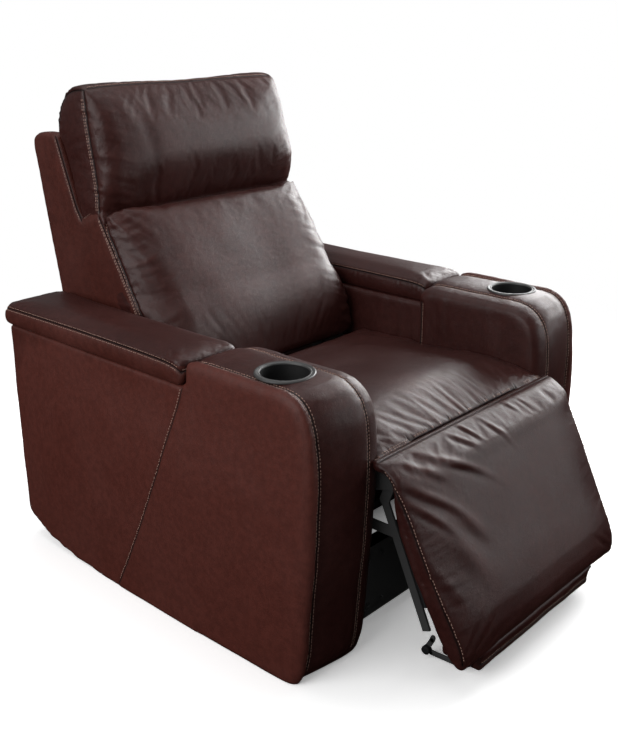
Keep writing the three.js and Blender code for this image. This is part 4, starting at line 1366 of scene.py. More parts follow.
    def lid(self) -> None:
        """Makes the padded storage lid."""
        name = self.side.word
        near, far = self.lid_inner, self.lid_outer
        stations = []
        for share, draw in (
            (0.0, 0.009), (0.03, 0.003), (0.1, 0.0), (0.3, 0.0), (0.5, 0.0), (0.7, 0.0), (0.9, 0.0),
            (0.97, 0.003), (1.0, 0.009),
        ):
            top = 0.5835 + 0.0125 * dome(2 * share - 1, 6)
            outline = [
                (0.305, 0.5345), (0.295, 0.536), (0.286, 0.543), (0.281, 0.556), (0.281, 0.567),
                (0.287, top - 0.006), (0.303, top), (0.45, top + 0.001), (0.65, top + 0.001), (0.86, top),
                (0.888, top - 0.006), (0.9045, top - 0.02), (0.9065, 0.552), (0.9, 0.539), (0.88, 0.5345),
            ]
            distance = near + (far - near) * share
            stations.append((self.x(distance), inset(outline, lambda i: draw)))
        edge = [(0.905, 0.5765), (0.6, 0.5815), (0.35, 0.5805), (0.305, 0.577), (0.2835, 0.568)]
        front = [
            at(self.x(far - 0.006), 0.2835, 0.568), at(self.x((near + far) / 2), 0.2815, 0.5715),
            at(self.x(near + 0.006), 0.2835, 0.568),
        ]
        outer, inner = drawn(self.x(far - 0.0015), edge), drawn(self.x(near + 0.0015), edge)
        seams = [
            Seam(outer, UP, 0, rows=(-0.0036, 0.0036), valley=0.0018, pucker=0.0005, pucker_pitch=0.017),
            Seam(inner, UP, 1, rows=(0.0036,), valley=0.0018, pucker=0.0004, pucker_pitch=0.017),
            Seam(front, UP, 2, rows=(0.0036,), valley=0.0015, pucker=0.0004),
        ]

        def relief(places: np.ndarray) -> np.ndarray:
            """Raises the lid's soft dents and the small creases at its front corners."""
            _, y, _ = spread(places)
            soft = 0.0011 * crumple(places, (14, 7, 14), 5.3, 2)
            corner = 0.0009 * crumple(places, (60, 60, 60), 8.8, 2) * (1 - ramp(y, 0.29, 0.36))
            return soft + corner

        def keep(places: np.ndarray) -> np.ndarray:
            """Holds the lid's flat underside."""
            return 1 - ramp(places[:, 2], 0.537, 0.543)

        stuffing = Stuffing(voxel=0.0052, pressure=2.2, cap=0.006, frames=12, relax=2, fill=0.7)
        work = LeatherPiece(name + "_lid_leather", Finish.TOP_LEATHER, stuffing, seams, relief, keep)
        made = work.make([loft("lid", stations)])
        # The lid's outer face, below its seam, is of the side's leather
        Bench.second(
            made[0], Finish.SIDE_LEATHER,
            lambda face: face.center.z < 0.5785 and face.normal.x * self.side.value > 0.25,
        )
        work.carry(made, Body[self.side.name + "_LID"], name + "_storage_lid")

    def cup_holder(self) -> None:
        """Spins the cup holder: a rolled ring over a deep cup."""
        centre = at(self.x(self.cup_x), self.cup_y, 0.0)
        top = self.height + 0.0085
        ring = [
            (0.0465, top - 0.014), (0.0465, top - 0.0026), (0.0472, top - 0.0012), (0.0486, top - 0.0004),
            (0.0502, top - 0.0010), (0.0525, top + 0.0002), (0.0555, top + 0.0001), (0.0572, top - 0.0012),
            (0.0578, top - 0.0033), (0.0573, top - 0.0050), (0.0498, top - 0.0050), (0.0498, top - 0.014),
            (0.0465, top - 0.014),
        ]
        cup = [
            (0.0, top - 0.070), (0.036, top - 0.070), (0.0428, top - 0.0675), (0.0455, top - 0.062),
            (0.0461, top - 0.0034), (0.0478, top - 0.0034), (0.0482, top - 0.0125), (0.0474, top - 0.064),
            (0.0435, top - 0.0715), (0.0, top - 0.0725),
        ]
        name = self.side.word
        rolled = Bench.spun(name + "_cup_ring", ring, centre, 96)
        Bench.mount(rolled, Finish.BLACK_STEEL, Body.CHASSIS, name + "_cup_holder")
        Bench.mount(Bench.spun(name + "_cup_well", cup, centre, 72), Finish.CUP_INSIDE, Body.CHASSIS)

    def build(self) -> None:
        """Makes everything on this arm."""
        self.leather()
        self.lid()
        self.cup_holder()


@dataclass
class Seat:
    """The seat cushion between the arms."""

    half_width: float = 0.2775
    flared: float = 0.3085
    hinge: tuple[float, float] = (-0.075, 0.385)
    pocket: float = 0.0535
    top: Outline = field(
        default_factory=lambda: [
            (-0.067, 0.4335), (-0.052, 0.4445), (-0.02, 0.4555), (0.05, 0.4625), (0.14, 0.459),
            (0.27, 0.4475), (0.38, 0.440), (0.47, 0.4395),
        ]
    )

    def outline(self, share: float) -> Outline:
        """The cushion's outline at a share of its half width."""
        full = dome(share, 3.2)
        crowned = []
        for i, (y, z) in enumerate(curve(self.top, 24)):
            swell = 0.010 * full * math.sin(math.pi * min(1.0, i / 20))
            crowned.append((y, z + swell + 0.003 * (full - 1)))
        hollow = arc(self.hinge, self.pocket, 150, 99, 8)
        return [(0.47, 0.36), (0.0, 0.36), *hollow, *crowned]

    def flare(self, piece: bpy.types.Object) -> None:
        """Widens the seat's lip, which wraps round the arms' front edges, and its rear, behind them."""
        for vertex in piece.data.vertices:
            y = vertex.co.y - FRONT
            front = clamp((-0.042 - y) / 0.022) ** 2
            rear = clamp((y - 0.285) / 0.03)
            vertex.co.x *= 1 + (self.flared / self.half_width - 1) * max(front, rear)

    def relief(self, places: np.ndarray) -> np.ndarray:
        """Raises the seat's soft hollows and the gathers behind its front seam."""
        x, y, z = spread(places)
        top = ramp(z, 0.42, 0.432)
        sat = -0.004 * bell(x, 0.17) * bell(y - 0.3, 0.13)
        soft = 0.0022 * crumple(places, (5, 6, 5), 1.7, 2)
        wave = streaks(x * 42, y * 7, 0.0, 6.6)
        gathers = 0.0022 * wave * bell(y + 0.035, 0.05) * (0.2 + 0.8 * bell(x - 0.02, 0.13))
        drag = streaks((x + 0.6 * y) * 16, y * 26, 0.0, 9.2)
        edge = 0.0018 * drag * ramp(np.abs(x), 0.16, 0.26)
        return (sat + soft + gathers + edge) * top

    def build(self) -> None:
        """Makes the seat's leather."""
        lip = level(LIP_HALF, -0.0655, 0.4355, 13)
        seam = Seam(lip, BEHIND, 0, rows=(0.0055, 0.0095), valley=0.001, pucker=0.0006, pucker_pitch=0.0105)

        def keep(places: np.ndarray) -> np.ndarray:
            """Holds the parts of the seat that rest on the deck, the pocket and the arms."""
            x, y, z = spread(places)
            pocket = 1 - ramp(apart(y, z, self.hinge), 0.054, 0.06)
            return np.maximum.reduce([1 - ramp(z, 0.36, 0.385), pocket, 0.85 * ramp(np.abs(x), 0.266, 0.276)])

        stuffing = Stuffing(
            voxel=0.0066, pressure=3.2, cap=0.012, frames=14, slack=0.012, relax=3, fill=0.6
        )
        work = LeatherPiece("seat_leather", Finish.TOP_LEATHER, stuffing, [seam], self.relief, keep)
        rough = loft("seat", mirrored(self.half_width, self.outline))
        self.flare(rough)
        work.carry(work.make([rough]), Body.CHASSIS, "seat_cushion")


@dataclass
class Footrest:
    """The footrest: its leather from the seat's front seam to the rolled end, and the flap below."""

    hinge: tuple[float, float] = (-0.075, 0.385)
    slope: float = 65.5
    radius: float = 0.051
    half_width: float = 0.315
    split: float = 0.03
    drawn_right: float = 0.085
    drawn_left: float = 0.03
    edge: float = 0.314
    core_half: float = 0.2525
    core_radius: float = 0.0465
    flap_pivot: tuple[float, float] = (-0.2571, 0.0562)
    bracket_x: float = 0.2225

    @property
    def run(self) -> tuple[float, float]:
        """The cosine and sine of the pad's slope."""
        tilt = math.radians(self.slope)
        return math.cos(tilt), math.sin(tilt)

    def on_pad(self, along: float, off: float) -> tuple[float, float]:
        """A place measured down the pad from the hinge, and out towards its face."""
        cos, sin = self.run
        return self.hinge[0] - along * cos - off * sin, self.hinge[1] - along * sin + off * cos

    def pad_place(self, y: Any, z: Any) -> tuple[Any, Any]:
        """How far down the pad, and how far out, places lie."""
        cos, sin = self.run
        y, z = y - self.hinge[0], z - self.hinge[1]
        return -y * cos - z * sin, -y * sin + z * cos

    def narrowing(self, x: float, along: float) -> float:
        """How much the pad's lower end draws in at a distance down it, on the side of an X."""
        draw = self.drawn_right if x < 0 else self.drawn_left
        return 1 - draw * clamp((along - 0.12) / 0.26) ** 1.3

    def outline(self, share: float) -> Outline:
        """The leather's outline at a share of its half width."""
        full = dome(share, 5)
        thin = 1 - full
        roll = []
        for angle in np.linspace(112, 30, 11):
            drop = 0.012 * thin * math.sin(math.pi * max(0.0, 101 - angle) / 90)
            roll += arc(self.hinge, self.radius + 0.0035 - drop, float(angle), float(angle), 1)
        face = [
            (0.03, 0.053, 0.046), (0.07, 0.056, 0.050), (0.12, 0.060, 0.052), (0.18, 0.065, 0.053),
            (0.24, 0.070, 0.055), (0.29, 0.073, 0.058), (0.325, 0.070, 0.058), (0.35, 0.062, 0.054),
            (0.367, 0.050, 0.046), (0.375, 0.034, 0.036), (0.371, 0.016, 0.028), (0.356, 0.0, 0.024),
        ]
        front = [self.on_pad(a, b * full + c * thin) for a, b, c in face]
        lift = 0.034 * thin
        back = [self.on_pad(a, -0.0125 + lift) for a in (0.33, 0.25, 0.17, 0.09)]
        inner = [self.on_pad(0.05, 0.008 + 0.4 * lift), self.on_pad(0.01, 0.03)]
        return [*roll, *front, *back, *inner, *arc(self.hinge, 0.032, 40, 112, 6)]

    def relief(self, places: np.ndarray) -> np.ndarray:
        """Raises the long drag folds that run down from the seat's seam, and the puckers below it."""
        x, y, z = spread(places)
        along, off = self.pad_place(y, z)
        face = ramp(off, 0.012, 0.03)
        height = 0.0024 * streaks(x * 5, along * 4, off * 5, 3.1) * ramp(along, -0.02, 0.08)
        # Each fold's middle across and down the pad, its length, turn, width and rise
        folds = (
            (-0.143, 0.012, 0.19, 0.62, 0.008, 0.0034), (-0.235, 0.052, 0.16, 0.78, 0.009, 0.0034),
            (-0.165, 0.125, 0.12, 1.05, 0.015, 0.0034), (-0.262, 0.075, 0.14, 0.92, 0.008, 0.0026),
            (-0.235, -0.005, 0.12, 0.72, 0.008, 0.0024), (-0.2, 0.17, 0.16, 1.2, 0.024, 0.0030),
            (-0.092, -0.022, 0.08, 0.82, 0.006, 0.0022), (-0.058, -0.03, 0.06, 1.05, 0.005, 0.0022),
            (0.018, -0.008, 0.1, 1.1, 0.006, 0.0018), (0.102, -0.04, 0.05, 1.05, 0.005, 0.0014),
            (0.152, -0.03, 0.04, 1.2, 0.005, 0.0012), (-0.28, 0.2, 0.12, 1.25, 0.012, 0.0018),
        )
        for cx, ca, length, turn, width, rise in folds:
            run_x, run_a = math.cos(turn), math.sin(turn)
            s = (x - cx) * run_x + (along - ca) * run_a
            t = -(x - cx) * run_a + (along - ca) * run_x + 0.006 * np.sin(s * 22)
            height += rise * bell(s, length * 0.42) * (bell(t, width) - 0.6 * bell(t - 1.8 * width, width))
        height += 0.0006 * streaks(x * 48, along * 5, 0.0, 5.5) * bell(along + 0.02, 0.03)
        return height * face

    def leather(self) -> None:
        """Makes the footrest's leather, and parts it where the pad slides away from the roll."""
        top = level(LIP_HALF, *arc(self.hinge, self.radius, 95.5, 95.5, 1)[0], 13)
        seams = [Seam(top, BEHIND, 0, rows=(), valley=0.0012, pucker=0.0005, pucker_pitch=0.012)]
        edge = [
            (-0.03, 0.024), (0.0, 0.038), (0.05, 0.047), (0.1, 0.049), (0.2, 0.051), (0.29, 0.055),
            (0.335, 0.053), (0.36, 0.046),
        ]
        for x in (-self.edge, self.edge):
            path = [at(x * self.narrowing(x, along), *self.on_pad(along, off)) for along, off in edge]
            seams.append(Seam(path, UP, 1, rows=(0.0042,), valley=0.0016, pucker=0.0004, pucker_pitch=0.018))

        def keep(places: np.ndarray) -> np.ndarray:
            """Holds the pad's back, which rests on its board, and the part inside the seat's pocket."""
            x, y, z = spread(places)
            angle = np.degrees(np.arctan2(z - self.hinge[1], self.hinge[0] - y))
            under = 1 - ramp(self.pad_place(y, z)[1], -0.012, 0.004 + 0.02 * ramp(np.abs(x), 0.25, 0.3))
            return np.maximum(under, ramp(angle, 70.0, 92.0))

        stuffing = Stuffing(
            voxel=0.0062, pressure=3.0, cap=0.008, frames=14, slack=0.004, relax=2, fill=0.6
        )
        work = LeatherPiece("footrest_leather", Finish.TOP_LEATHER, stuffing, seams, self.relief, keep)
        shares = (0.0, 0.25, 0.5, 0.7, 0.84, 0.93, 0.975, 1.0)
        rough = loft("footrest", mirrored(self.half_width, self.outline, shares))
        for vertex in rough.data.vertices:
            along, _ = self.pad_place(vertex.co.y - FRONT, vertex.co.z)
            vertex.co.x *= self.narrowing(vertex.co.x, along)
        pad, stitching = work.make([rough])
        apron = pad.copy()
        apron.data = pad.data.copy()
        apron.name = "footrest_apron"
        bpy.context.scene.collection.objects.link(apron)
        self.part(pad, False)
        self.part(apron, True)
        pad.name = "footrest_pad_leather"
        low, high = self.on_pad(self.split, 0.05), self.on_pad(0.17, 0.05)
        for piece in (pad, stitching):
            at(0, *low)
            at(0, *high)
            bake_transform(piece)
        start, end = arc(self.hinge, self.radius, 98, 98, 1)[0], self.on_pad(0.012, 0.05)
        at(0, *start)
        at(0, *end)
        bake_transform(apron)
        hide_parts("footrest_pad")
        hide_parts("footrest_roll")

    def part(self, piece: bpy.types.Object, upper: bool) -> None:
        """Cuts the leather across at the roll and keeps one side, closed by a flat face.

        Args:
            piece: the whole leather.
            upper: whether the side nearer the seat is kept.
        """
        cos, sin = self.run
        down = Vector((0.0, -cos, -sin))
        Bench.edit(piece)
        bpy.ops.mesh.bisect(
            plane_co=at(0, *self.on_pad(self.split, 0.0)), plane_no=down, use_fill=True,
            clear_inner=not upper, clear_outer=upper,
        )
        bpy.ops.object.mode_set(mode="OBJECT")
        mesh = bmesh.new()
        mesh.from_mesh(piece.data)
        for face in mesh.faces:
            if len(face.verts) > 8 and abs(face.normal.dot(down)) > 0.98:
                for edge in face.edges:
                    edge.smooth = False
        mesh.to_mesh(piece.data)
        mesh.free()

    def core(self) -> None:
        """Makes the dark cloth roll that turns inside the seat's pocket."""
        low, high = at(-self.core_half, *self.hinge), at(self.core_half, *self.hinge)
        roll = Bench.rod("footrest_roll_core", low, high, self.core_radius, 64, 0.004)
        Bench.mount(roll, Finish.DUST_COVER, Body.FOOTREST_ARM)

    def flap(self) -> None:
        """Makes the folded flap under the pad and the steel that carries it."""
        piece = Bench.block("flap", at(-0.2185, -0.2605, 0.0165), at(0.2185, -0.168, 0.0515), 0.008)
        path = level(0.214, -0.2605, 0.034, 9)
        seams = [Seam(path, UP, 0, rows=(0.004,), valley=0.0012, pucker=0.0004)]

        def relief(places: np.ndarray) -> np.ndarray:
            """Raises the flap's dents."""
            return 0.0014 * crumple(places, (13, 20, 20), 8.1, 3)

        stuffing = Stuffing(voxel=0.005, pressure=2.0, cap=0.003, frames=10, relax=3, fill=0.7)
        work = LeatherPiece("flipper_leather", Finish.TOP_LEATHER, stuffing, seams, relief)
        pivot = self.flap_pivot
        roll = Bench.rod("roll", at(-0.2165, *pivot), at(0.2165, *pivot), 0.0068, 32)
        work.carry(work.make([piece, roll]), Body.FLIPPER, "flipper_board")
        rod = Bench.rod("flipper_hinge_rod", at(-0.2235, *pivot), at(0.2235, *pivot), 0.0038, 20)
        Bench.mount(rod, Finish.BLACK_STEEL, Body.FLIPPER)

    def bracket(self, side: Side) -> None:
        """Makes one of the flap's open steel brackets with its roller.

        Args:
            side: which side of the flap it is on.
        """
        x = side.value * self.bracket_x
        path = [
            (-0.1535, 0.0515), (-0.152, 0.046), (-0.141, 0.0235), (-0.150, 0.0165), (-0.215, 0.0205),
            (-0.238, 0.031), (-0.243, 0.0475),
        ]
        bars = [
            Bench.plate("bar", self.strip(start, end, 0.0055), x, x + side.value * 0.004)
            for start, end in zip(path, path[1:])
        ]
        Bench.mount(Bench.weld(side.word + "_flipper_bracket", bars), Finish.BLACK_STEEL, Body.FLIPPER)
        spot = at(x, -0.1425, 0.0215)
        end = spot + Vector((side.value * 0.013, 0, 0))
        roller = Bench.rod(side.word + "_flipper_roller", spot, end, 0.0095, 28, 0.002)
        Bench.mount(roller, Finish.PLASTIC, Body.FLIPPER)

    @staticmethod
    def strip(start: tuple[float, float], end: tuple[float, float], half: float) -> Outline:
        """The outline of a flat bar with round ends."""
        angle = math.degrees(math.atan2(end[1] - start[1], start[0] - end[0]))
        return [*arc(start, half, angle + 90, angle + 270, 6), *arc(end, half, angle - 90, angle + 90, 6)]

    def build(self) -> None:
        """Makes everything on the footrest."""
        self.leather()
        self.core()
        self.flap()
        for side in Side:
            self.bracket(side)


@dataclass
class Back:
    """The reclining back: lumbar cushion, side panels, rear shell and the tilting headrest."""

    half_width: float = 0.305
    top_half_width: float = 0.301
    head_half_width: float = 0.2985
    head_top_half_width: float = 0.293
    shell_half_width: float = 0.2955
    hinge: tuple[float, float] = (0.785, 0.765)
    pocket: float = 0.057
    welt: Outline = field(
        default_factory=lambda: [
            (0.528, 0.452), (0.551, 0.487), (0.585, 0.54), (0.617, 0.593), (0.66, 0.664),
            (0.699, 0.727), (0.734, 0.782),
        ]
    )
    head_welt: Outline = field(
        default_factory=lambda: [
            (0.744, 0.79), (0.7455, 0.835), (0.756, 0.90), (0.768, 0.965), (0.776, 1.022), (0.779, 1.046),
        ]
    )

    def lumbar_outline(self, share: float) -> Outline:
        """The lumbar cushion's outline at a share of its half width."""
        full = dome(share, 11)
        front = []
        for i, (y, z) in enumerate(curve(self.welt, 18)):
            part = i / 17
            crown = 0.011 * (1 - share * share) * math.sin(math.pi * part)
            edge = 0.011 * share**4 + 0.013 * max(0.0, share) ** 2 * math.sin(math.pi * part)
            belly = 0.013 * math.sin(math.pi * min(1.0, part / 0.4))
            puff = full * (0.041 + crown + edge + belly) * min(1.0, 0.8 + 1.6 * part) * (1.0 - 0.15 * part**3)
            front.append((y - puff * 0.852, max(z + puff * 0.524, 0.452)))
        hollow = arc(self.hinge, self.pocket, 8, -78, 8)
        back = 0.03 * (1 - full)
        foot = [
            (0.641, 0.4425), (0.56, 0.4425), (0.522, 0.431), (0.512, 0.424), (0.499 + back, 0.4235),
            (0.495 + back, 0.43), (0.492 + back, 0.4485),
        ]
        return [*foot, *front, *hollow, (0.772, 0.7)]

    def taper(self, piece: bpy.types.Object, low: float, high: float, wide: float, narrow: float) -> None:
        """Narrows a piece from one height to another, and lets it lean out at the sitter's left.

        Args:
            piece: the piece in hand.
            low: where it begins to narrow.
            high: where it ends.
            wide: the half width below.
            narrow: the half width above.
        """
        for vertex in piece.data.vertices:
            share = clamp((vertex.co.z - low) / (high - low))
            lean = self.lean(vertex.co.z) if vertex.co.x > 0 else 1.0
            vertex.co.x *= (1 + (narrow / wide - 1) * share) * lean

    @staticmethod
    def lean(z: float) -> float:
        """How much wider the back is on the sitter's left at a height."""
        return float(1.022 + 0.014 * ramp(z, 0.56, 0.68) - 0.024 * ramp(z, 0.84, 1.03))

    def width_at(self, z: float) -> float:
        """The back's half width at a height."""
        return self.half_width + (self.top_half_width - self.half_width) * clamp((z - 0.55) / 0.25)

    def lumbar(self) -> None:
        """Makes the lumbar cushion."""
        rough = loft("lumbar", mirrored(self.half_width, self.lumbar_outline))
        self.taper(rough, 0.55, 0.8, self.half_width, self.top_half_width)
        seams = [
            Seam(
                [at(sign * self.width_at(z), y + 0.004, z) for y, z in self.welt], AHEAD, 0,
                rows=(-0.0045,), valley=0.0022, pucker=0.0011, pucker_pitch=0.022,
            )
            for sign in (-1, 1)
        ]

        def relief(places: np.ndarray) -> np.ndarray:
            """Raises the lumbar's soft hollows and the creases that run in from its welts."""
            x, y, z = spread(places)
            soft = 0.003 * streaks(x * 5, y * 5, z * 4, 4.2)
            side = ramp(np.abs(x), 0.19, 0.275)
            creases = 0.0026 * streaks(x * 9, y * 8, (z + 0.35 * np.abs(x)) * 44, 2.9) * side
            top = 0.0022 * streaks(x * 26, y * 3, z * 20, 7.7) * bell(z - 0.775, 0.035)
            return soft + creases + top * (0.35 + 0.65 * side)

        def keep(places: np.ndarray) -> np.ndarray:
            """Holds the cushion where it rests on its board and round the headrest's roll."""
            _, y, z = spread(places)
            board = ramp((y - 0.64) * 0.894 - (z - 0.44) * 0.448, -0.03, -0.012)
            hollow = 1 - ramp(apart(y, z, self.hinge), 0.0585, 0.065)
            return np.maximum.reduce([board, hollow, 1 - ramp(z, 0.447, 0.46)])

        stuffing = Stuffing(
            voxel=0.0066, pressure=3.2, cap=0.013, frames=14, slack=0.006, relax=2, fill=0.75
        )
        work = LeatherPiece("lumbar_leather", Finish.TOP_LEATHER, stuffing, seams, relief, keep)
        work.carry(work.make([rough]), Body.BACK, "back_cushion")

    def side_panel(self, side: Side) -> None:
        """Makes one leather side of the back, from the lumbar's welt to the rear shell.

        Args:
            side: which side of the back it is.
        """
        slot = [(0.827, 0.79), (0.842, 0.83), (0.8605, 0.88), (0.8765, 0.924), (0.885, 0.944)]
        outline = [
            *[(y + 0.009, z) for y, z in self.welt], (0.76, 0.778), (0.808, 0.7605), *slot, (0.9, 0.951),
            (0.932, 0.9515), (0.96, 0.949), (0.978, 0.938), (0.983, 0.918), (0.968, 0.845), (0.943, 0.72),
            (0.916, 0.576), (0.886, 0.428), (0.872, 0.421), (0.68, 0.421), (0.56, 0.4215),
        ]
        tab = [
            (0.738, 0.783), (0.745, 0.7945), (0.768, 0.792), (0.79, 0.785), (0.8115, 0.772),
            (0.81, 0.745), (0.75, 0.745),
        ]
        panel_draws = (
            (0.2695, 0.006), (0.273, 0.001), (0.285, 0.0), (0.297, 0.0005), (0.304, 0.002), (0.307, 0.006),
        )
        cover_draws = ((0.2925, 0.0), (0.2985, 0.0005), (0.3005, 0.002), (0.302, 0.006))
        solids = []
        for name, line, draws in (("side", outline, panel_draws), ("cover", tab, cover_draws)):
            stations = [(side.value * x, inset(line, lambda i: draw)) for x, draw in draws]
            solids.append(loft(name, stations))
        rough = Bench.weld("side", solids)
        for vertex in rough.data.vertices:
            vertex.co.x -= side.value * 0.004 * clamp((vertex.co.z - 0.55) / 0.38)
        path = [at(side.value * 0.299, y + 0.004, z) for y, z in [(0.809, 0.7625), *slot]]
        link = drawn(side.value * 0.3, [(0.809, 0.7725), (0.79, 0.7835), (0.768, 0.7905), (0.746, 0.793)])
        welt = [at(side.value * self.width_at(z), y + 0.0105, z) for y, z in self.welt]
        seams = [
            Seam(welt, BEHIND, 0, rows=(0.0035, 0.0075), valley=0.0008, pucker=0.0003, pucker_pitch=0.02),
            Seam(path, BEHIND, 1, rows=(0.005,), valley=0.0008),
            Seam(link, UP, 2, rows=(-0.0035,), valley=0.0012, pucker=0.0006),
        ]

        def relief(places: np.ndarray) -> np.ndarray:
            """Raises the side's shallow hollows, with a few pulls beside the slot."""
            _, y, z = spread(places)
            soft = 0.0016 * crumple(places, (6, 8, 6), 9.4, 2)
            pulls = streaks(y * 40, z * 7, 0.0, 3.3)
            return soft + 0.0014 * pulls * bell(y - 0.85, 0.05) * ramp(z, 0.7, 0.8)

        name = side.word + "_back_side_leather"
        stuffing = Stuffing(voxel=0.0056, relax=3, fill=0.9)
        work = LeatherPiece(name, Finish.SIDE_LEATHER, stuffing, seams, relief)
        work.carry(work.make([rough]), Body.BACK, side.word + "_back_wing")

    def shell(self) -> None:
        """Makes the leather over the back's rear face."""
        line = [(0.871, 0.421), (0.9135, 0.573), (0.941, 0.715), (0.964, 0.84), (0.9805, 0.925)]
        outline = [
            *curve(line, 12), (0.977, 0.938), (0.968, 0.944), (0.94, 0.93), (0.912, 0.8), (0.872, 0.57),
            (0.846, 0.421),
        ]
        puffs = {0: 0.006, 0.4: 0.0055, 0.75: 0.004, 0.94: 0.001, 1.0: -0.003}

        def puffed(share: float) -> Outline:
            """The shell's outline at a share of its half width, with its rear face swollen."""
            return inset(outline, lambda i: -puffs[abs(share)] if i < 12 else 0.0)

        rough = loft("shell", mirrored(self.shell_half_width, puffed, puffs))
        seams = []
        for sign in (-1, 1):
            edge = [at(sign * 0.2895, y + 0.001, z) for y, z in line]
            seams.append(Seam(edge, Vector((sign, 0, 0)), 0, rows=(-0.004,), valley=0.0014, pucker=0.0005))
        middle = level(0.285, 0.947, 0.748, 7)
        seams.append(Seam(middle, UP, 1, valley=0.0016, pucker=0.0006, pucker_pitch=0.02))

        def relief(places: np.ndarray) -> np.ndarray:
            """Raises the shell's shallow waves."""
            return 0.002 * crumple(places, (5, 5, 7), 6.1, 3)

        stuffing = Stuffing(voxel=0.0068, relax=3, fill=0.9)
        work = LeatherPiece("back_shell_leather", Finish.SIDE_LEATHER, stuffing, seams, relief)
        work.carry(work.make([rough]), Body.BACK, "back_rear_panel")

    def head_outline(self, share: float) -> Outline:
        """The headrest's outline at a share of its half width."""
        full = dome(share, 11)
        front = []
        for i, (y, z) in enumerate(curve(self.head_welt, 16)):
            part = i / 15
            crown = 0.013 * (1 - share * share) * math.sin(math.pi * part**0.8)
            low = math.sin(math.pi / 2 * min(1.0, 0.12 + part / 0.42))
            high = math.sin(math.pi / 2 * min(1.0, 0.2 + (1 - part) / 0.4))
            edge = 0.012 * share**4 + 0.014 * max(0.0, share) ** 2 * (1 - part)
            puff = full * (crown + (0.040 + edge) * low * high)
            front.append((y - puff * 0.97, z + puff * 0.12))
        lift = 0.006 * full
        top = [
            (0.785, 1.053 + lift), (0.802, 1.0565 + lift), (0.827, 1.053 + lift),
            (0.851, 1.040 + lift / 2), (0.872, 1.017), (0.886, 0.988), (0.891, 0.958), (0.884, 0.937),
            (0.8735, 0.925),
        ]
        slot = [(0.8575, 0.885), (0.8365, 0.83), (0.8195, 0.785), (0.8085, 0.757)]
        roll = arc(self.hinge, 0.0545, -70, 6, 8)
        return [*roll, *front, *top, *slot]

    def headrest(self) -> None:
        """Makes the headrest cushion, which bulges over the lumbar below a deep crease."""
        rough = loft("head", mirrored(self.head_half_width, self.head_outline))
        self.taper(rough, 0.8, 1.05, self.head_half_width, self.head_top_half_width)
        right = [at(-(self.head_half_width - 0.02 * (z - 0.79)), y + 0.002, z) for y, z in self.head_welt]
        left = [Vector((-p.x, p.y, p.z)) for p in reversed(right)]
        seams = [
            Seam(welt, AHEAD, 0, rows=(-0.004, -0.0085), valley=0.0026, pucker=0.0013, pucker_pitch=0.024)
            for welt in (right, left)
        ]
        top = [at(x, 0.7815, 1.0535 + 0.006 * dome(x / 0.29, 2)) for x in np.linspace(-0.279, 0.279, 11)]
        seams.append(Seam(top, AHEAD, 1, rows=(-0.0045,), valley=0.0026, pucker=0.0005, pucker_pitch=0.028))
        boxing = [(0.784, 1.05), (0.82, 1.047), (0.85, 1.034), (0.872, 1.006), (0.884, 0.962)]
        for sign in (-1, 1):
            outward = Vector((sign, 0, 0))
            seams.append(Seam(drawn(sign * 0.289, boxing), outward, 2, rows=(), valley=0.0014, pucker=0.0008))

        def relief(places: np.ndarray) -> np.ndarray:
            """Raises the headrest's soft hollows, its corner creases and the gathers over the crease."""
            x, y, z = spread(places)
            face = 1 - ramp(y, 0.74, 0.77)
            soft = 0.0032 * streaks(x * 4, y * 4, z * 4.5, 8.3)
            soft -= 0.0015 * bell(x + 0.17 + 0.12 * (z - 0.93), 0.02) * bell(z - 0.94, 0.08) * face
            pulls = 0.0007 * streaks((x + 0.45 * z) * 27, z * 5, 0.0, 1.9) * bell(z - 1.01, 0.05) * face
            side = ramp(np.abs(x), 0.18, 0.27)
            wave = streaks(x * 8, y * 8, (z - 0.3 * np.abs(x)) * 40, 6.2)
            low = streaks(x * 22, y * 3, z * 16, 4.9)
            return soft + pulls + 0.0014 * wave * side * face + 0.0008 * low * bell(z - 0.81, 0.03) * face

        def keep(places: np.ndarray) -> np.ndarray:
            """Holds the roll, which turns in the lumbar's hollow, and the face along the slot."""
            _, y, z = spread(places)
            roll = (1 - ramp(apart(y, z, self.hinge), 0.056, 0.062)) * (1 - ramp(z, 0.775, 0.8))
            slot = ramp((y - 0.809) - (z - 0.757) * 0.38, -0.014, -0.007) * (1 - ramp(z, 0.9, 0.95))
            return np.maximum(roll, slot)

        stuffing = Stuffing(
            voxel=0.0062, pressure=3.2, cap=0.011, frames=14, slack=0.004, relax=2, fill=0.8
        )
        work = LeatherPiece("headrest_leather", Finish.TOP_LEATHER, stuffing, seams, relief, keep)
        work.carry(work.make([rough]), Body.HEADREST, "headrest_cushion")

    def build(self) -> None:
        """Makes everything on the back."""
        self.lumbar()
        for side in Side:
            self.side_panel(side)
        self.shell()
        self.headrest()


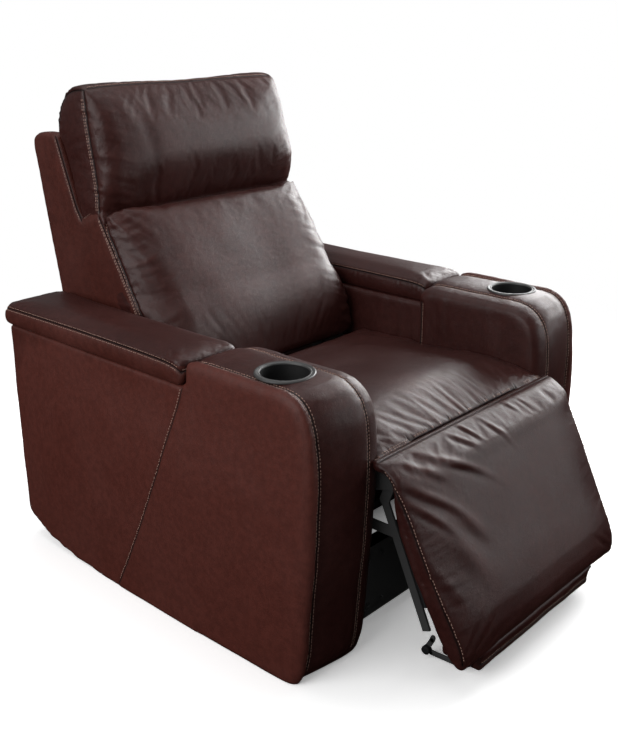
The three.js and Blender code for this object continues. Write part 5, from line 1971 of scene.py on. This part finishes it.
@dataclass
class Mechanism:
    """The steel below the seat: finishes for the frame's own parts, and the fixings on them."""

    swing: tuple[float, float] = (0.075, 0.385)
    pad_pivot: tuple[float, float] = (-0.08834, 0.27614)
    arm_pivot: tuple[float, float] = (0.06166, 0.27614)
    hinge: tuple[float, float] = (-0.075, 0.385)
    back_hinge: tuple[float, float] = (0.6, 0.4)

    def rivet(self, name: str, x: float, spot: tuple[float, float], way: float) -> bpy.types.Object:
        """Models a domed rivet head on a plate's face at an X, towards one way along X."""
        return Bench.rod(name, at(x, *spot), at(x + way * 0.0032, *spot), 0.0085, 20, 0.0016)

    def rivets(self) -> None:
        """Adds the rivet heads of every pivot."""
        for side in Side:
            s = side.value
            heads = [
                self.rivet("head", s * x, spot, -s)
                for x, spot in ((0.2666, self.hinge), (0.2552, self.swing), (0.2666, self.back_hinge))
            ]
            Bench.mount(Bench.weld(side.word + "_plate_rivets", heads), Finish.ZINC, Body.CHASSIS)
            head = self.rivet(side.word + "_link_rivet", s * 0.2615, self.pad_pivot, -s)
            Bench.mount(head, Finish.ZINC, Body.FOOTREST_ARM)
            head = self.rivet(side.word + "_swing_rivet", s * 0.2562, self.arm_pivot, -s)
            Bench.mount(head, Finish.ZINC, Body.DRIVE)

    def screws(self) -> None:
        """Adds the hexagon bolts of the front rail and its corner brackets."""
        bolts = []
        for x in (-0.245, -0.2, 0.2, 0.245):
            for z in (0.065, 0.175):
                bolts.append(Bench.rod("bolt", at(x, 0.0002, z), at(x, -0.0052, z), 0.0065, 6, 0.0007))
                bolts.append(Bench.rod("washer", at(x, 0.0002, z), at(x, -0.0014, z), 0.0095, 24, 0.0004))
        for x in (-0.06, 0.06):
            bolts.append(Bench.rod("bolt", at(x, 0.0002, 0.125), at(x, -0.0045, 0.125), 0.005, 24, 0.0012))
        Bench.mount(Bench.weld("rail_bolts", bolts), Finish.BLACK_STEEL, Body.CHASSIS)
        flanges = [
            Bench.block("flange", at(-0.278, 0.0, 0.196), at(0.278, 0.034, 0.2), 0.0012),
            Bench.block("flange", at(-0.278, 0.0, 0.04), at(0.278, 0.034, 0.044), 0.0012),
        ]
        for x in (-0.276, 0.276):
            flanges.append(Bench.block("corner", at(x - 0.003, 0.0, 0.05), at(x + 0.002, 0.09, 0.19), 0.0012))
        Bench.mount(Bench.weld("rail_flanges", flanges), Finish.BLACK_STEEL, Body.CHASSIS)

    def motor_caps(self) -> None:
        """Adds the gear housings and end caps of the two motors."""
        motors = (("footrest", -0.07, 0.454, 0.248, -1.0), ("back", 0.07, 0.324, 0.262, 1.0))
        for name, x, y, z, way in motors:
            start = at(x + way * 0.108, y, z)
            trim = [Bench.rod("cap", start, start + Vector((way * 0.004, 0, 0)), 0.0215, 40, 0.0015)]
            for near, far in ((0.03, 0.034), (0.088, 0.092)):
                trim.append(Bench.rod("ring", at(x + way * near, y, z), at(x + way * far, y, z), 0.0252, 40))
            Bench.mount(Bench.weld(name + "_motor_trim", trim), Finish.ZINC, Body.CHASSIS)

    def deck_cover(self) -> None:
        """Adds the black cloth stapled under the seat's deck."""
        cover = Bench.block("deck_dust_cover", at(-0.252, -0.018, 0.2965), at(0.252, 0.46, 0.2995), 0.001)
        staples = []
        for y in np.linspace(0.0, 0.44, 12):
            for x in (-0.246, 0.246):
                low, high = at(x - 0.0008, y - 0.005, 0.2957), at(x + 0.0008, y + 0.005, 0.2967)
                staples.append(Bench.block("staple", low, high, 0.0003))
        Bench.mount(cover, Finish.DUST_COVER, Body.CHASSIS)
        Bench.mount(Bench.weld("deck_staples", staples), Finish.ZINC, Body.CHASSIS)

    def finishes(self) -> None:
        """Gives every node that still shows its finish."""
        table = {
            Finish.BLACK_STEEL: (
                "front_cross_rail", "middle_cross_rail", "rear_cross_rail", "drive_tube", "back_drive_tube",
                "headrest_rod",
                *both("side_plate", "footrest_bar", "coupler_link", "back_bracket", "lid_hinge"),
            ),
            Finish.ZINC: ("footrest_rod", "back_rod"),
            Finish.WOOD: ("back_board", *both("arm_base_rail")),
            Finish.DUST_COVER: ("seat_deck", "footrest_board"),
            Finish.PLASTIC: (
                "footrest_actuator", "back_actuator", "power_inlet", "control_panel", *both("storage_bin"),
            ),
            Finish.GUNMETAL: (
                "back_up_button", "back_down_button", "footrest_up_button", "footrest_down_button",
            ),
            Finish.RUBBER: both("front_glide", "rear_glide"),
        }
        for finish, nodes in table.items():
            for name in nodes:
                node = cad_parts[name]
                node.data.materials.clear()
                node.data.materials.append(finish.material)

    def build(self) -> None:
        """Finishes the frame's parts and adds their fixings."""
        self.finishes()
        self.rivets()
        self.screws()
        self.motor_caps()
        self.deck_cover()


@dataclass
class Studio:
    """The pale floor, the soft lights and the camera."""

    eye: tuple[float, float, float] = (-1.6177, -1.0909, 1.2197)
    tilt: float = 69.532
    turn: float = -47.663
    lens: float = 47.33
    ambient: float = 0.19
    mirrored_light: float = 0.1
    near_glow: float = 0.25
    covered_glow: float = 0.06
    near_bright: float = 1.5
    bounce: float = 0.35
    fade_start: float = 1.0
    fade_end: float = 2.3

    def camera(self) -> None:
        """Sets the camera where the photograph's was."""
        data = bpy.data.cameras.new("camera")
        data.lens = self.lens
        data.sensor_width = 36.0
        data.sensor_fit = "AUTO"
        camera = bpy.data.objects.new("camera", data)
        camera.location = at(*self.eye)
        camera.rotation_euler = (math.radians(self.tilt), 0.0, math.radians(self.turn))
        bpy.context.scene.collection.objects.link(camera)
        bpy.context.scene.camera = camera

    def lamp(
        self, name: str, place: tuple[float, float, float], aim: tuple[float, float, float],
        size: tuple[float, float], power: float,
    ) -> None:
        """Hangs one soft rectangular light.

        Args:
            name: the light's name.
            place: where it hangs.
            aim: the point that it faces.
            size: its width and height.
            power: its power in watts.
        """
        data = bpy.data.lights.new(name, "AREA")
        data.shape = "RECTANGLE"
        data.size, data.size_y = size
        data.energy = power
        light = bpy.data.objects.new(name, data)
        light.location = place
        light.rotation_euler = (Vector(aim) - Vector(place)).to_track_quat("-Z", "Y").to_euler()
        bpy.context.scene.collection.objects.link(light)

    def world(self) -> None:
        """Surrounds the scene with even light that looks white."""
        recipe = Recipe("studio", world=True)
        path = recipe.add("LightPath").outputs
        seen = recipe.maths("MAXIMUM", path["Is Camera Ray"], path["Is Transmission Ray"])
        glossy = recipe.maths("MULTIPLY", path["Is Glossy Ray"], self.mirrored_light)
        strength = recipe.maths("MAXIMUM", recipe.maths("MAXIMUM", seen, glossy), self.ambient)
        background = recipe.add("Background", {"Color": (*WHITE, 1.0), "Strength": strength})
        bpy.context.scene.world = recipe.finish(background, "OutputWorld")

    def floor(self) -> None:
        """Lays the floor, white to the eye but shaded by the chair, with a painted shadow under it."""
        Bench.clear()
        bpy.ops.mesh.primitive_plane_add(size=60.0, location=(0.0, 0.0, -0.0005))
        floor = Bench.named("floor")
        recipe = Recipe("floor_white")
        place = recipe.place()
        away = recipe.add("VectorMath", {0: place}, operation="LENGTH").outputs["Value"]
        far = recipe.remap(away, self.fade_start, self.fade_end, 0.0, 1.0)
        # Painted shadow: the floor's glow is cut down under the chair, so the floor there is darker
        parts = recipe.add("SeparateXYZ", {0: place}).outputs
        beside = recipe.remap(recipe.maths("ABSOLUTE", parts[0]), 0.36, 0.46, 1.0, 0.0)
        behind = recipe.remap(parts[1], -0.15, 0.05, 0.0, 1.0)
        ahead = recipe.remap(parts[1], 0.5, 0.62, 1.0, 0.0)
        under = recipe.maths("MULTIPLY", beside, recipe.maths("MULTIPLY", behind, ahead))
        glow = recipe.maths(
            "MULTIPLY", recipe.remap(far, 0.0, 1.0, self.near_glow, 1.0),
            recipe.remap(under, 0.0, 1.0, 1.0, self.covered_glow),
        )
        path = recipe.add("LightPath").outputs
        camera = path["Is Camera Ray"]
        hidden = recipe.maths("SUBTRACT", 1.0, recipe.maths("MAXIMUM", camera, path["Is Glossy Ray"]))
        bright = recipe.remap(far, 0.0, 1.0, self.near_bright, 0.0)
        shade = recipe.total(recipe.maths("MULTIPLY", bright, camera), (hidden, self.bounce))
        cloth = recipe.add("BsdfDiffuse", {"Color": recipe.tinted(WHITE, shade)}).outputs[0]
        glowing = {"Color": (*WHITE, 1.0), "Strength": recipe.maths("MULTIPLY", camera, glow)}
        light = recipe.add("Emission", glowing).outputs[0]
        floor.data.materials.append(recipe.finish(recipe.add("AddShader", {0: cloth, 1: light})))

    def build(self) -> None:
        """Sets up the whole studio."""
        self.camera()
        self.world()
        self.floor()
        self.lamp("window", (2.8, 0.1, 1.5), (0.0, 0.0, 0.6), (2.3, 1.9), 106.0)
        self.lamp("front", (2.1, -2.5, 1.1), (0.0, -0.3, 0.3), (1.6, 1.4), 18.0)
        self.lamp("fill", (-3.0, 0.2, 1.9), (-0.2, 0.0, 0.4), (2.6, 2.0), 52.0)
        self.lamp("overhead", (0.0, 0.3, 3.2), (0.0, 0.1, 0.5), (2.6, 2.6), 26.0)
        bpy.context.scene.view_settings.view_transform = "Standard"


def main() -> None:
    """Builds the chair and its studio, and writes how large the model is."""
    logging.basicConfig(level=logging.INFO, format="%(name)s: %(message)s")
    Studio().build()
    for side in Side:
        Arm(side).build()
    Seat().build()
    Footrest().build()
    Back().build()
    Mechanism().build()
    Bench.clear()


if __name__ == "__main__":
    main()
